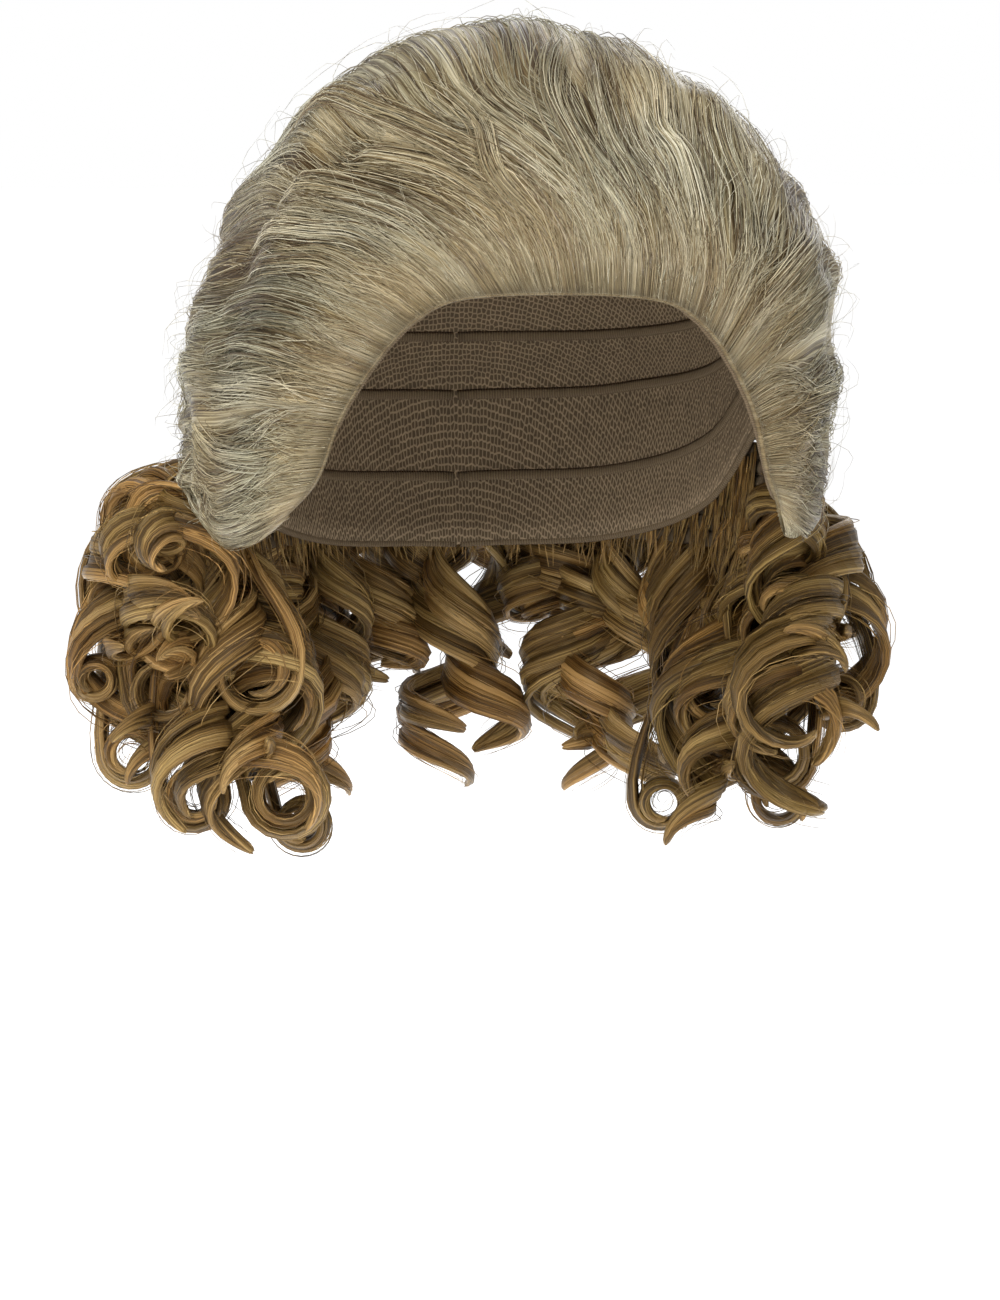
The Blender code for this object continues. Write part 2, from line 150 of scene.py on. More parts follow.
# The light hair's half-width at each level, as shares of its usual one. Level 1 is the top of the hair.
Level = namedtuple("Level", "level right left")
OUTLINE = named_rows(
    Level,
    (-0.50, 0.97, 0.96),
    (-0.05, 1.00, 0.99),
    (0.20, 1.00, 1.01),
    (0.43, 0.95, 1.07),
    (0.64, 0.985, 1.10),
    (0.85, 1.02, 1.15),
    (1.00, 1.05, 1.10),
)
SIDE_BLEND = 2.0

# How far the comb has drawn the hair aside by the top of the head, from where it leaves the hairline.
Comb = namedtuple("Comb", "across drawn")
COMBED = named_rows(
    Comb,
    (-1.00, 0.0),
    (-0.90, -0.03),
    (-0.75, -0.05),
    (-0.60, -0.01),
    (-0.40, -0.05),
    (-0.20, -0.12),
    (0.00, -0.15),
    (0.20, -0.13),
    (0.40, -0.12),
    (0.50, 0.01),
    (0.60, 0.03),
    (0.75, 0.05),
    (0.90, 0.03),
    (1.00, 0.0),
)
COMB_REACH = 0.33  # the share of a strand's way over which it is drawn

# Crests and hollows in the combed hair: where each lies, how far it reaches and how high it stands.
Swell = namedtuple("Swell", "across along wide long rise")
SWELLS = named_rows(
    Swell,
    (-0.19, 0.290, 0.040, 0.030, -0.0060),
    (-0.15, 0.350, 0.080, 0.035, 0.0030),
    (-0.32, 0.200, 0.070, 0.045, -0.0015),
    (-0.36, 0.260, 0.060, 0.040, 0.0016),
    (-0.05, 0.240, 0.060, 0.060, -0.0022),
    (0.07, 0.270, 0.060, 0.050, 0.0026),
    (0.14, 0.190, 0.050, 0.045, -0.0026),
    (0.20, 0.235, 0.030, 0.030, -0.0032),
    (0.26, 0.310, 0.060, 0.040, 0.0024),
    (0.38, 0.265, 0.050, 0.040, 0.0022),
    (0.43, 0.180, 0.040, 0.035, -0.0026),
    (0.56, 0.220, 0.060, 0.040, 0.0018),
)
SCATTERED_SWELLS = 46  # more of them over the back and sides
SWELL_RISE = 0.0016
PARTING = 0.08  # how far a hollow parts the hair, as a share of its reach

# Raised locks of the light hair: the places (along, across) each passes, how high it stands, half its width.
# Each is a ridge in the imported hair, steeper on the side towards the lobe, with loose hairs over it.
Raised = namedtuple("Raised", "places rise half_width")
RAISED_LOCKS = named_rows(
    Raised,
    (((0.09, -0.03), (0.23, -0.11), (0.33, -0.155), (0.46, -0.22)), 0.0048, 0.0052),
    (((0.06, -0.05), (0.17, -0.12), (0.25, -0.175), (0.36, -0.20)), 0.0022, 0.0036),
    (((0.04, -0.165), (0.13, -0.19), (0.23, -0.245), (0.37, -0.31)), 0.0032, 0.0046),
    (((0.05, -0.255), (0.15, -0.285), (0.26, -0.345), (0.41, -0.38)), 0.0026, 0.0042),
    (((0.05, -0.36), (0.14, -0.365), (0.24, -0.41), (0.40, -0.45)), 0.0026, 0.0042),
    (((0.08, -0.47), (0.17, -0.48), (0.28, -0.50), (0.42, -0.53)), 0.0020, 0.0040),
    (((0.07, -0.58), (0.16, -0.58), (0.28, -0.595), (0.40, -0.63)), 0.0022, 0.0042),
    (((0.06, -0.66), (0.15, -0.66), (0.28, -0.67), (0.42, -0.66)), 0.0018, 0.0036),
    (((0.06, -0.78), (0.15, -0.79), (0.30, -0.78), (0.42, -0.73)), 0.0018, 0.0036),
    (((0.05, -0.01), (0.13, -0.06), (0.24, -0.05), (0.36, -0.08)), 0.0020, 0.0036),
    (((0.06, 0.10), (0.16, 0.055), (0.27, 0.04), (0.42, 0.085)), 0.0034, 0.0050),
    (((0.08, 0.18), (0.17, 0.13), (0.25, 0.095), (0.38, 0.10)), 0.0024, 0.0038),
    (((0.09, 0.30), (0.16, 0.245), (0.25, 0.195), (0.40, 0.165)), 0.0034, 0.0046),
    (((0.09, 0.41), (0.17, 0.365), (0.22, 0.30), (0.36, 0.25)), 0.0028, 0.0042),
    (((0.06, 0.50), (0.16, 0.51), (0.28, 0.52), (0.42, 0.52)), 0.0020, 0.0040),
    (((0.06, 0.56), (0.16, 0.575), (0.28, 0.59), (0.42, 0.60)), 0.0018, 0.0036),
    (((0.06, 0.72), (0.18, 0.73), (0.30, 0.73), (0.44, 0.71)), 0.0018, 0.0036),
)
SCATTERED_LOCKS = 22  # more of them over the back
RIDGE_WIDTH = 0.036  # across
RIDGE_STEEPNESS = 2.2
RIDGE_POINTS = 24
RAISED_POINTS = 12
RAISED_HAIRS = 46
RAISED_LIFT = 0.0007
RAISED_TUCK = 0.0012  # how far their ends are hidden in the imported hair
# The hair that turns down at the side and runs forward along the lower edge of a roll, as on the left.
RIM_LOCKS = named_rows(
    Raised,
    (((0.30, 0.84), (0.40, 0.895), (0.36, 0.93), (0.24, 0.94), (0.12, 0.94), (0.02, 0.92)), 0.0010, 0.0030),
    (((0.42, 0.80), (0.52, 0.885), (0.50, 0.94), (0.34, 0.955), (0.16, 0.955), (0.01, 0.94)), 0.0012, 0.0030),
    (((0.54, 0.78), (0.62, 0.88), (0.58, 0.945), (0.40, 0.965), (0.2, 0.965), (0.01, 0.955)), 0.0008, 0.0026),
)
RIM_HAIRS = 70

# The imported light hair, and how the single hairs lie over it. Shares are of a hair's way unless another is
# named.
BODY_WALL = 0.0012
BODY_ROWS = 70
LIGHT_HAIRS = 7300  # from lobe to lobe
HAIR_POINTS = 8
HAIR_WIDTH = 0.00028
HAIR_DEPTH = 0.00028
HAIR_VARIETY = (0.7, 0.6)  # the finest hair's share of its width, and how much more others may have
HAIR_RUN = (0.16, 0.42)  # the shortest and the longest stretch that a hair covers
HAIR_STRAY = 0.008
BODY_SUNK = 0.00055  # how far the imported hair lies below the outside
HAIR_SUNK = 0.0006  # the same for the deepest single hairs
TUCKED_SUNK = 0.0016  # and for a hair's hidden ends
OVERHANG = 0.020  # how far the hair hides the cap's edge at the face
FROM_HAIRLINE = 0.42  # the share of hairs that begin at the hairline; the rest come from rows behind it
LOCK_WIDTH = 0.062  # of a loose lock, as a share of the way from the middle to the lobe
LOCK_SPREAD = 0.72  # how far a lock's hairs reach from its middle, in lock widths
LOCK_RISE = 0.0014
LOCK_SWAY = 0.007
COMB_SWAY = 0.011  # the set S-waves that all hairs share
COMB_WAVES = 2.2
FLYAWAYS = 1100
FLYAWAY_POINTS = 6
FLYAWAY_WIDTH = 0.00017
FLYAWAY_LIFT = 0.0075
EDGE_WISPS = 260  # short hairs that stray over the hairline
WISP_POINTS = 7
WISP_LIFT = 0.0012

# The curls: their build is that of the solids, with lesser locks beside each of theirs.
CURL_DROP = 0.116
CURL_REACH = 0.046
CURL_FORWARD = 0.030
COIL_RADIUS = 0.0135
BAND_WIDTH = 0.0115
BAND_THICKNESS = 0.0045
TIP_WIDTH = 0.45
TIP_TAPER = 2.0
TIP_SPACING = 1.25  # more than 1 puts a lock's points closer towards its tip
COIL_FULL = 0.60
COIL_CLOSES = 0.72  # the share of a lock's way after which its coil closes in again
COIL_CLOSING = 0.5  # and by how much
BACKING_THICKNESS = 0.005
ROOT_DEPTH = 0.65
ROOT_LIFT = 0.010
BACKING_UPPER_DROP = 1.18
BACKING_LOWER_DROP = 1.52
SIDE_BACKING = (106, 137)
BACK_BACKING = (138, 166)
MIDDLE_BACKING = (167, 193)
STRIP_ROWS = 7  # sewn one below the other, on which the curls hang
STRIP_ROW_WIDTH = 0.0050
STRIP_ROW_DEPTH = 0.0040
ROW_POINTS = 24
WEFT_HAIRS = 80  # they fall over the rows, on either side of them
WEFT_HAIR_WIDTH = 0.0009
WEFT_HAIR_POINTS = 7
WEFT_CLEAR = 0.0006  # how far inside the rows they lie
WEFT_BULGE = 0.007  # how far they stand off the rows outside
CURL_HAIR_WIDTH = 0.00028
Tress = namedtuple("Tress", "seat width depth sway")
TRESSES = named_rows(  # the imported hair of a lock: shares of its half-width, width and thickness
    Tress,
    (-0.76, 0.40, 0.50, 0.22),
    (-0.27, 0.52, 0.78, 0.18),
    (0.27, 0.52, 0.70, 0.18),
    (0.76, 0.40, 0.56, 0.22),
)
TRESS_CLOSING = 0.30  # how far apart they still are at the tip
# The main locks wind as those of the solids do. The lesser ones beside them end in flatter, rounder coils.
Make = namedtuple("Make", "points sides hairs end_bend winding")
MAIN_MAKE = Make(points=46, sides=6, hairs=11, end_bend=0.30, winding=1.3)
LESSER_MAKE = Make(points=34, sides=5, hairs=8, end_bend=0.10, winding=1.7)
LESSER_EACH = 2
# Locks that fall free and end in a flat coil that faces the front: its middle (millimetres) and radius.
Coil = namedtuple("Coil", "root_azimuth root_down x y z radius turns")
COIL_FALL = 13  # how many of its points are in the fall
COIL_LIFT = 0.020  # how far it stands out before it falls
COIL_ENTRY = 0.022  # how long its straight way into the coil is
COIL_ADVANCE = 5.0  # millimetres that a turn comes forward
COIL_SHRINK = 0.45  # how far the coil closes in
COILS_RIGHT = named_rows(
    Coil,
    (-112, 0.90, -84.7, 26, -196.0, 9.5, 1.7),
    (-109, 0.85, -59.5, 18, -195.0, 11.5, 1.9),
    (-118, 0.90, -53.5, 34, -206.0, 7.5, 1.3),
    (-111, 0.60, -92.0, 34, -167.0, 11.0, 1.5),
    (-124, 0.30, -106.0, 48, -144.0, 7.0, 1.3),
    (-120, 0.20, -97.0, 54, -128.0, 9.0, 1.2),
    (-127, 0.55, -111.0, 40, -164.0, 6.5, 1.2),
    (-124, 0.75, -101.0, 42, -186.0, 9.0, 1.3),
    (-108, 0.45, -68.0, 20, -160.0, 12.0, -1.3),
)
COILS_LEFT = named_rows(
    Coil,
    (112, 0.85, 80.9, 26, -188.0, 11.5, -1.8),
    (119, 0.70, 103.0, 38, -173.0, 9.0, -1.4),
    (121, 0.90, 52.0, 42, -203.0, 8.0, 1.3),
    (124, 0.35, 106.0, 46, -149.0, 6.5, -1.2),
    (110, 0.45, 79.7, 28, -153.0, 11.0, 1.4),
    (116, 0.90, 86.0, 42, -203.0, 7.0, 1.1),
    (109, 0.60, 66.0, 34, -168.0, 11.0, -1.3),
    (127, 0.20, 96.0, 56, -128.0, 8.5, 1.2),
)

Curl = namedtuple("Curl", "root_azimuth root_down end_azimuth out down forward size turns start")
CURLS_RIGHT = named_rows(
    Curl,
    (-108, 0.29, -101, 0.80, 0.30, 0.2, 0.65, 2.0, 200),
    (-114, 0.40, -104, 0.90, 0.54, 0.5, 0.75, -2.0, 320),
    (-120, 0.51, -108, 1.05, 0.80, 0.6, 0.85, 2.2, 240),
    (-110, 0.62, -99, 0.50, 0.56, 0.3, 0.90, -2.0, 70),
    (-116, 0.74, -102, 0.50, 0.96, 0.8, 0.95, 2.2, 20),
    (-122, 0.85, -112, -0.35, 0.98, 0.7, 1.10, -2.2, 180),
    (-128, 0.68, -118, 0.95, 0.92, 0.6, 1.00, 2.2, 270),
    (-131, 0.46, -124, 0.85, 0.54, 0.4, 0.90, -2.0, 140),
    (-118, 0.85, -108, 0.05, 1.06, 0.5, 0.85, 2.0, 120),
)
CURLS_LEFT = named_rows(
    Curl,
    (108, 0.29, 104, 0.25, 0.30, 0.2, 0.65, -2.0, 160),
    (114, 0.40, 104, 0.62, 0.52, 0.4, 0.75, 2.0, 30),
    (120, 0.51, 106, 0.92, 0.80, 0.8, 0.85, -2.2, 110),
    (110, 0.62, 100, 0.30, 0.56, 0.3, 0.85, 2.0, 280),
    (116, 0.74, 102, 0.25, 1.00, 0.8, 1.05, 2.2, 330),
    (122, 0.79, 116, 0.50, 1.04, 0.5, 0.85, -2.2, 70),
    (119, 0.85, 122, -0.50, 1.10, 0.6, 0.85, 2.0, 200),
    (128, 0.51, 124, 0.65, 0.56, 0.3, 0.90, -2.0, 210),
    (132, 0.79, 128, 0.10, 1.00, 0.4, 0.95, 2.2, 70),
)
CURLS_BACK = named_rows(
    Curl,
    (142, 0.40, 141, 0.80, 0.66, 0.0, 0.95, 2.2, 45),
    (147, 0.75, 149, 0.35, 1.04, 0.0, 1.05, -2.4, 170),
    (155, 0.42, 155, 0.80, 0.70, 0.0, 0.90, -2.2, 300),
    (159, 0.76, 158, 0.35, 1.04, 0.0, 0.95, 2.4, 110),
)
CURLS_MIDDLE = named_rows(
    Curl,
    (173, 0.51, 173, 0.75, 0.68, 0.0, 0.85, 2.2, 0),
    (179, 0.78, 181, 0.30, 1.04, 0.0, 1.05, -2.4, 210),
    (187, 0.51, 187, 0.70, 0.72, 0.0, 0.85, -2.2, 150),
)

# The cap's making.
CAP_SEGMENTS = 96
CAP_RINGS = 40
WEFT_ROWS = 9
WEFT_WIDTH = 0.0030
WEFT_DEPTH = 0.0012
BINDING_WIDTH = 0.0026
BINDING_DEPTH = 0.0022
FLOW_PER_METRE = 1 / 0.15  # how much the flow map's first coordinate grows in a metre across the hair
CURL_FLOW = 1 / 0.10  # the same on the curls, whose streaks are finer
LOCK_SHIFT = 0.37  # how far the flow map moves on from one lock to the next

# The fibres. Tones go from the darkest wisp to the lightest; warm and cool tint broad patches of them.
Look = namedtuple(
    "Look", "tones variety warm cool roots root_reach tips dark light bump roughness shine gloss"
)
LIGHT_LOOK = Look(
    tones=(
        (0.20, (0.135, 0.088, 0.042)),
        (0.38, (0.29, 0.230, 0.126)),
        (0.50, (0.38, 0.332, 0.208)),
        (0.66, (0.54, 0.490, 0.342)),
        (0.85, (0.64, 0.594, 0.445)),
    ),
    variety=1.0,
    warm=(1.0, 0.88, 0.70, 1),
    cool=(0.90, 0.96, 0.97, 1),
    roots=(0.32, 0.235, 0.115, 1),
    root_reach=0.19,
    tips=(0.50, 0.46, 0.32, 1),
    dark=0.48,
    light=1.40,
    bump=0.7,
    roughness=0.32,
    shine=0.62,
    gloss=(1.0, 0.95, 0.90, 1),
)
# Painted shade: the imported hair under the single hairs gets darker tones, which stand for the shade between
# and below them.
UNDER_SHADE_LOOK = LIGHT_LOOK._replace(
    tones=(
        (0.20, (0.070, 0.043, 0.017)),
        (0.38, (0.160, 0.115, 0.054)),
        (0.50, (0.235, 0.187, 0.098)),
        (0.66, (0.340, 0.287, 0.175)),
        (0.85, (0.440, 0.383, 0.255)),
    ),
    roots=(0.26, 0.185, 0.086, 1),
    tips=(0.30, 0.26, 0.16, 1),
    shine=0.20,
)
BROWN_LOOK = Look(
    tones=(
        (0.20, (0.050, 0.024, 0.006)),
        (0.40, (0.150, 0.080, 0.022)),
        (0.56, (0.250, 0.145, 0.045)),
        (0.80, (0.430, 0.275, 0.105)),
    ),
    variety=0.80,
    warm=(1.05, 0.86, 0.66, 1),
    cool=(0.92, 1.00, 0.92, 1),
    # Painted shade: the curls' roots are nearly black, for the shade inside the mass of curls.
    roots=(0.075, 0.040, 0.012, 1),
    root_reach=0.14,
    tips=(0.30, 0.19, 0.075, 1),
    dark=0.50,
    light=1.42,
    bump=1.0,
    roughness=0.33,
    shine=0.50,
    gloss=(1.0, 0.84, 0.58, 1),
)
# Painted shade: darker tones for the curls on the wearer's left, which stand for the shade they lie in on the
# side away from the key light.
SHADED_BROWN_LOOK = BROWN_LOOK._replace(
    tones=(
        (0.20, (0.036, 0.017, 0.004)),
        (0.40, (0.105, 0.056, 0.014)),
        (0.56, (0.175, 0.100, 0.028)),
        (0.80, (0.300, 0.190, 0.066)),
    ),
    shine=0.42,
)


def eased_between(places, values, at):
    """Values at any place between the given ones, along a smooth curve."""
    slopes = np.gradient(values, places, axis=0)
    at = np.clip(np.asarray(at, float), places[0], places[-1])
    i = np.clip(np.searchsorted(places, at) - 1, 0, len(places) - 2)
    step = places[i + 1] - places[i]
    u = (at - places[i]) / step
    if values.ndim > 1:
        step, u = step[..., None], u[..., None]
    return (
        values[i] * (1 + 2 * u) * (1 - u) ** 2
        + slopes[i] * step * u * (1 - u) ** 2
        + values[i + 1] * u * u * (3 - 2 * u)
        - slopes[i + 1] * step * u * u * (1 - u)
    )


def read(table, column, at):
    """A column of a table at any place between its rows."""
    places = np.array([row[0] for row in table], float)
    return eased_between(places, np.array([getattr(row, column) for row in table], float), at)


def stacked(*axes):
    return np.stack(np.broadcast_arrays(*axes), axis=-1)


def unit(vectors):
    return vectors / np.linalg.norm(vectors, axis=-1, keepdims=True)


def smooth(share):
    share = np.clip(share, 0, 1)
    return share * share * (3 - 2 * share)


def steps(number):
    """Shares of a hair's way, in a row for all the hairs."""
    return np.linspace(0, 1, number)[None, :]


def wave(turns):
    return np.sin(2 * math.pi * turns)


def eased_ends(share, root, root_over, tip, tip_over):
    """1 along a hair or lock, and less towards its root and its tip, over these shares of its way."""
    at_root = root + (1 - root) * smooth(share / root_over)
    return at_root * (tip + (1 - tip) * smooth((1 - share) / tip_over))


def around(azimuth):
    """The level direction at an azimuth in degrees."""
    angle = np.radians(azimuth)
    return stacked(np.sin(angle), -np.cos(angle), 0)


def head_point(azimuth, drop, grow=0.0):
    """A point at an azimuth and height on the head form, grown all round by a thickness."""
    height = CROWN_DEPTH - np.asarray(drop) * CROWN_DEPTH
    depth = np.where(height > 0, CROWN_DEPTH, LOWER_DEPTH) + grow
    share = np.sqrt(np.clip(1 - (height / depth) ** 2, 0, 1))
    out = around(azimuth)
    radius = 1 / np.hypot(
        out[..., 0] / (HEAD_HALF_WIDTH + grow), out[..., 1] / (HEAD_HALF_LENGTH + grow)
    )
    level = out * (radius * share)[..., None]
    return level + stacked(0, 0, height - CROWN_DEPTH)


MIDDLE = np.array((0.0, 0.0, -CROWN_DEPTH))


def reach(directions, half_width, front, back, upper, lower):
    """How far each direction goes from the middle to an egg-shaped surface."""
    x, y, z = np.moveaxis(directions, -1, 0)
    return 1 / np.sqrt(
        (x / half_width) ** 2
        + (y / np.where(y < 0, front, back)) ** 2
        + (z / np.where(z > 0, upper, lower)) ** 2
    )


def cap_outside(directions):
    """How far each direction goes to the surface that lies just clear of the cap."""
    grow = CAP_WALL + CAP_CLEARANCE
    length = HEAD_HALF_LENGTH + grow
    return reach(
        directions, HEAD_HALF_WIDTH + grow, length, length, CROWN_DEPTH + grow, LOWER_DEPTH + grow
    )


def hair_outside(directions):
    """How far each direction goes to the outside of the light hair where it is full."""
    level = directions[..., 2]
    on_left = smooth(0.5 + SIDE_BLEND * directions[..., 0])
    share = read(OUTLINE, "right", level) * (1 - on_left) + read(OUTLINE, "left", level) * on_left
    return reach(
        directions,
        (HEAD_HALF_WIDTH + HAIR_SIDE) * share,
        HEAD_HALF_LENGTH + HAIR_FRONT,
        HEAD_HALF_LENGTH + HAIR_BACK,
        CROWN_DEPTH + HAIR_TOP,
        LOWER_DEPTH + HAIR_LOWER,
    )


def strand_direction(along, across):
    """The way from the middle of the head to a place on a strand; across is negative on the right."""
    sweep = np.radians(read(STRANDS, "sweep_angle", across))
    hairline = read(STRANDS, "hairline_azimuth", across), read(STRANDS, "hairline_drop", across)
    starts = head_point(*hairline)
    ends = head_point(read(STRANDS, "end_azimuth", across), read(STRANDS, "end_drop", across))
    passing = stacked(np.sin(sweep), 0, np.cos(sweep))
    along = np.asarray(along)[..., None]
    way = (
        unit(starts - MIDDLE) * (1 - along) ** 2
        + passing * SWEEP_WEIGHT * 2 * along * (1 - along)
        + unit(ends - MIDDLE) * along**2
    )
    return unit(way)


def fullness(along, across):
    """The share of the full thickness: less where the hair rolls in at the face, the ends and the lobe."""
    front = np.clip(along / FRONT_ROLL, 0, 1)
    end = np.clip((1 - along) / END_ROLL, 0, 1)
    lobe = np.clip((1 - np.abs(across)) / LOBE_SHARE, 0, 1)
    rounded = 1.0
    for share in (front, end, lobe):
        rounded = rounded * (EDGE_SHARE + (1 - EDGE_SHARE) * np.sqrt(1 - (1 - share) ** 2))
    return rounded


def calm_edges(along, across):
    """1 inside the light hair and 0 at its edges, where ribs, waves and locks fade out."""
    return eased_ends(along, 0, FRONT_ROLL, 0, END_ROLL) * smooth((1 - np.abs(across)) / LOBE_SHARE)


def scattered_swells():
    """Small crests and hollows over the rest of the hair."""
    chance = np.random.default_rng(3)
    return [
        Swell(
            across=chance.uniform(-0.95, 0.95),
            along=chance.uniform(0.12, 0.92),
            wide=chance.uniform(0.03, 0.08),
            long=chance.uniform(0.03, 0.07),
            rise=SWELL_RISE * chance.choice((-1.3, 1.0)) * chance.uniform(0.5, 1.2),
        )
        for _ in range(SCATTERED_SWELLS)
    ]


ALL_SWELLS = SWELLS + scattered_swells()


def swelling(along, across):
    """The height that crests and hollows add, and how far each hollow parts the hair."""
    rise = 0.0
    parting = 0.0
    for swell in ALL_SWELLS:
        aside = (across - swell.across) / swell.wide
        near = np.exp(-(aside**2) - ((along - swell.along) / swell.long) ** 2)
        rise = rise + swell.rise * near
        if swell.rise < 0:
            parting = parting + swell.wide * aside * near * PARTING
    return rise, parting


def through(points, share):
    """A smooth curve through points that are evenly spaced along it."""
    return eased_between(np.linspace(0, 1, len(points)), np.array(points, float), share)


def scattered_locks():
    """Raised locks over the back and sides, laid along the strands with a slow sway."""
    chance = np.random.default_rng(17)
    made = []
    for number in range(SCATTERED_LOCKS):
        across = -0.85 + 1.7 * (number + chance.uniform(0.2, 0.8)) / SCATTERED_LOCKS
        first = chance.uniform(0.34, 0.62)
        stretch = chance.uniform(0.24, 0.34)
        sways = across + np.cumsum(chance.normal(0, 0.022, 4))
        places = tuple((first + stretch * step / 3, sway) for step, sway in enumerate(sways))
        made.append(Raised(places, chance.uniform(0.0012, 0.0026), chance.uniform(0.0030, 0.0044)))
    return made


def ridge_lines():
    """Each raised lock as its places along, its places across at them, and its rise."""
    share = np.linspace(0, 1, RIDGE_POINTS)
    return [(*through(lock.places, share).T, lock.rise) for lock in RAISED_LOCKS + scattered_locks()]


RIDGES = ridge_lines()


def ridges(along, across):
    """The height that raised locks add. Each is steeper on its side towards the lobe."""
    rise = 0.0
    for places, line, height in RIDGES:
        aside = (across - np.interp(along, places, line)) / RIDGE_WIDTH
        aside = np.where(aside * np.sign(line[0]) > 0, aside * RIDGE_STEEPNESS, aside)
        share = (along - places[0]) / (places[-1] - places[0])
        arch = eased_ends(share, 0, 0.35, 0, 0.30)
        rise = rise + height * arch * (np.exp(-(aside**2)) - 0.25 * np.exp(-((aside / 2.2) ** 2)))
    return rise


def relief(along, across):
    """Combed ribs, set waves, crests and hollows, and raised locks."""
    ribs = np.cos(2 * math.pi * (RIBS_EACH_SIDE * across + RIB_SWAY * np.sin(RIB_SWAYS * along)))
    waves = wave(WAVES * along + WAVE_LAG * np.abs(across))
    rise, _ = swelling(along, across)
    return (RIB_RISE * ribs + WAVE_RISE * waves + rise + ridges(along, across)) * calm_edges(along, across)


def hair_point(along, across, sunk):
    """A point of the light hair, so far below its outside and always clear of the cap."""
    way = strand_direction(along, across)
    low = cap_outside(way)
    full = low + (hair_outside(way) - low) * fullness(along, across) + relief(along, across)
    return MIDDLE + way * np.maximum(full - sunk, low)[..., None]


def combed(along, across):
    """Where a hair that leaves the hairline at a place across lies further along."""
    return across + read(COMBED, "drawn", across) * smooth(along / COMB_REACH)


def uncombed(along, across):
    """The place at the hairline from which the comb has drawn a hair to a place on the head."""
    roots = np.linspace(-1, 1, 401)
    drawn = read(COMBED, "drawn", roots)
    back = [np.interp(x, roots + drawn * smooth(s / COMB_REACH), roots) for s, x in zip(along, across)]
    return np.array(back)


def crowded(across):
    """Moves places across a side roll towards the lobe, where its surface turns most."""
    way = np.clip((np.abs(across) - ROLL_SEAM) / (1 - ROLL_SEAM), 0, 1)
    beyond = (1 - ROLL_SEAM) * (1 - (1 - way) ** LOBE_CROWDING - way)
    return across + np.sign(across) * beyond


def deselect_all():
    bpy.ops.object.select_all(action="DESELECT")


def dress(piece, finish, *nodes, slot=None):
    """Gives a piece its finish and its place on the wig, and hides the solids that it stands for."""
    piece.data.materials.clear()
    piece.data.materials.append(finish)
    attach(piece, "root")
    if nodes:
        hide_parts(*nodes)
    return piece


def map_flow(mesh, flow):
    """Writes each point's place in the hair's flow, across and along, to the piece's own map."""
    layer = mesh.uv_layers.get("flow") or mesh.uv_layers.new(name="flow")
    corners = np.empty(len(mesh.loops), np.int32)
    mesh.loops.foreach_get("vertex_index", corners)
    layer.data.foreach_set("uv", flow[corners].astype(np.float32).ravel())


def sweep(name, paths, outward, width, depth, flow, sides=3, flow_rate=FLOW_PER_METRE):
    """Joins many rods into one mesh. Each follows its own path, with an oval section of a few sides."""
    count, points, _ = paths.shape
    ahead = unit(np.gradient(paths, axis=1))
    side = unit(np.cross(ahead, outward))
    rise = np.cross(side, ahead)
    width = np.broadcast_to(width, (count, points))
    depth = np.broadcast_to(depth, (count, points))
    angles = -math.pi / 2 - math.pi / sides + 2 * math.pi * np.arange(sides) / sides
    wide = np.cos(angles)[None, None, :] * width[..., None] / 2
    high = np.sin(angles)[None, None, :] * depth[..., None] / 2
    corners = (
        paths[:, :, None] + side[:, :, None] * wide[..., None] + rise[:, :, None] * high[..., None]
    )
    flow = np.repeat(flow[:, :, None], sides, axis=2)
    flow[..., 0] += wide * flow_rate
    number = np.arange(count * points * sides).reshape(count, points, sides)
    turned = np.roll(number, -1, axis=2)
    walls = np.stack([turned[:, :-1], number[:, :-1], number[:, 1:], turned[:, 1:]], axis=-1)
    ends = [*number[:, 0].tolist(), *number[:, -1, ::-1].tolist()]
    mesh = bpy.data.meshes.new(name)
    mesh.from_pydata(corners.reshape(-1, 3), [], walls.reshape(-1, 4).tolist() + ends)
    map_flow(mesh, flow.reshape(-1, 2))
    mesh.shade_smooth()
    piece = bpy.data.objects.new(name, mesh)
    bpy.context.scene.collection.objects.link(piece)
    return piece


def grid_piece(name, rows, columns, place, flow):
    """A sheet with a place for each point, from its shares along and across."""
    deselect_all()
    bpy.ops.mesh.primitive_grid_add(x_subdivisions=rows, y_subdivisions=columns, size=2)
    piece = bpy.context.object
    piece.name = name
    piece.data.name = name
    flat = np.array([vertex.co for vertex in piece.data.vertices])
    shares = (flat[:, :2] + 1) / 2
    for layer in list(piece.data.uv_layers):
        piece.data.uv_layers.remove(layer)
    map_flow(piece.data, flow(shares[:, 0], shares[:, 1]))
    piece.data.vertices.foreach_set("co", place(shares[:, 0], shares[:, 1]).ravel())
    return piece


def give_wall(piece, thickness, offset):
    """A wall of one thickness, applied, with its faces outwards."""
    wall = piece.modifiers.new("wall", "SOLIDIFY")
    wall.thickness = thickness
    wall.offset = offset
    deselect_all()
    piece.select_set(True)
    bpy.context.view_layer.objects.active = piece
    bpy.ops.object.modifier_apply(modifier=wall.name)
    bpy.ops.object.mode_set(mode="EDIT")
    bpy.ops.mesh.select_all(action="SELECT")
    bpy.ops.mesh.normals_make_consistent(inside=False)
    bpy.ops.object.mode_set(mode="OBJECT")
    piece.data.shade_smooth()


class Wire:
    """An output socket of a material. A sum or product of wires adds the Math node that works it out."""

    def __init__(self, finish, socket):
        self.finish = finish
        self.socket = socket

    def maths(self, operation, one, other):
        return self.finish.add("ShaderNodeMath", {"operation": operation}, {0: one, 1: other})

    def __add__(self, other):
        return self.maths("ADD", self, other)

    def __radd__(self, other):
        return self.maths("ADD", other, self)

    def __sub__(self, other):
        return self.maths("SUBTRACT", self, other)

    def __rsub__(self, other):
        return self.maths("SUBTRACT", other, self)

    def __mul__(self, other):
        return self.maths("MULTIPLY", self, other)

    def __rmul__(self, other):
        return self.maths("MULTIPLY", other, self)


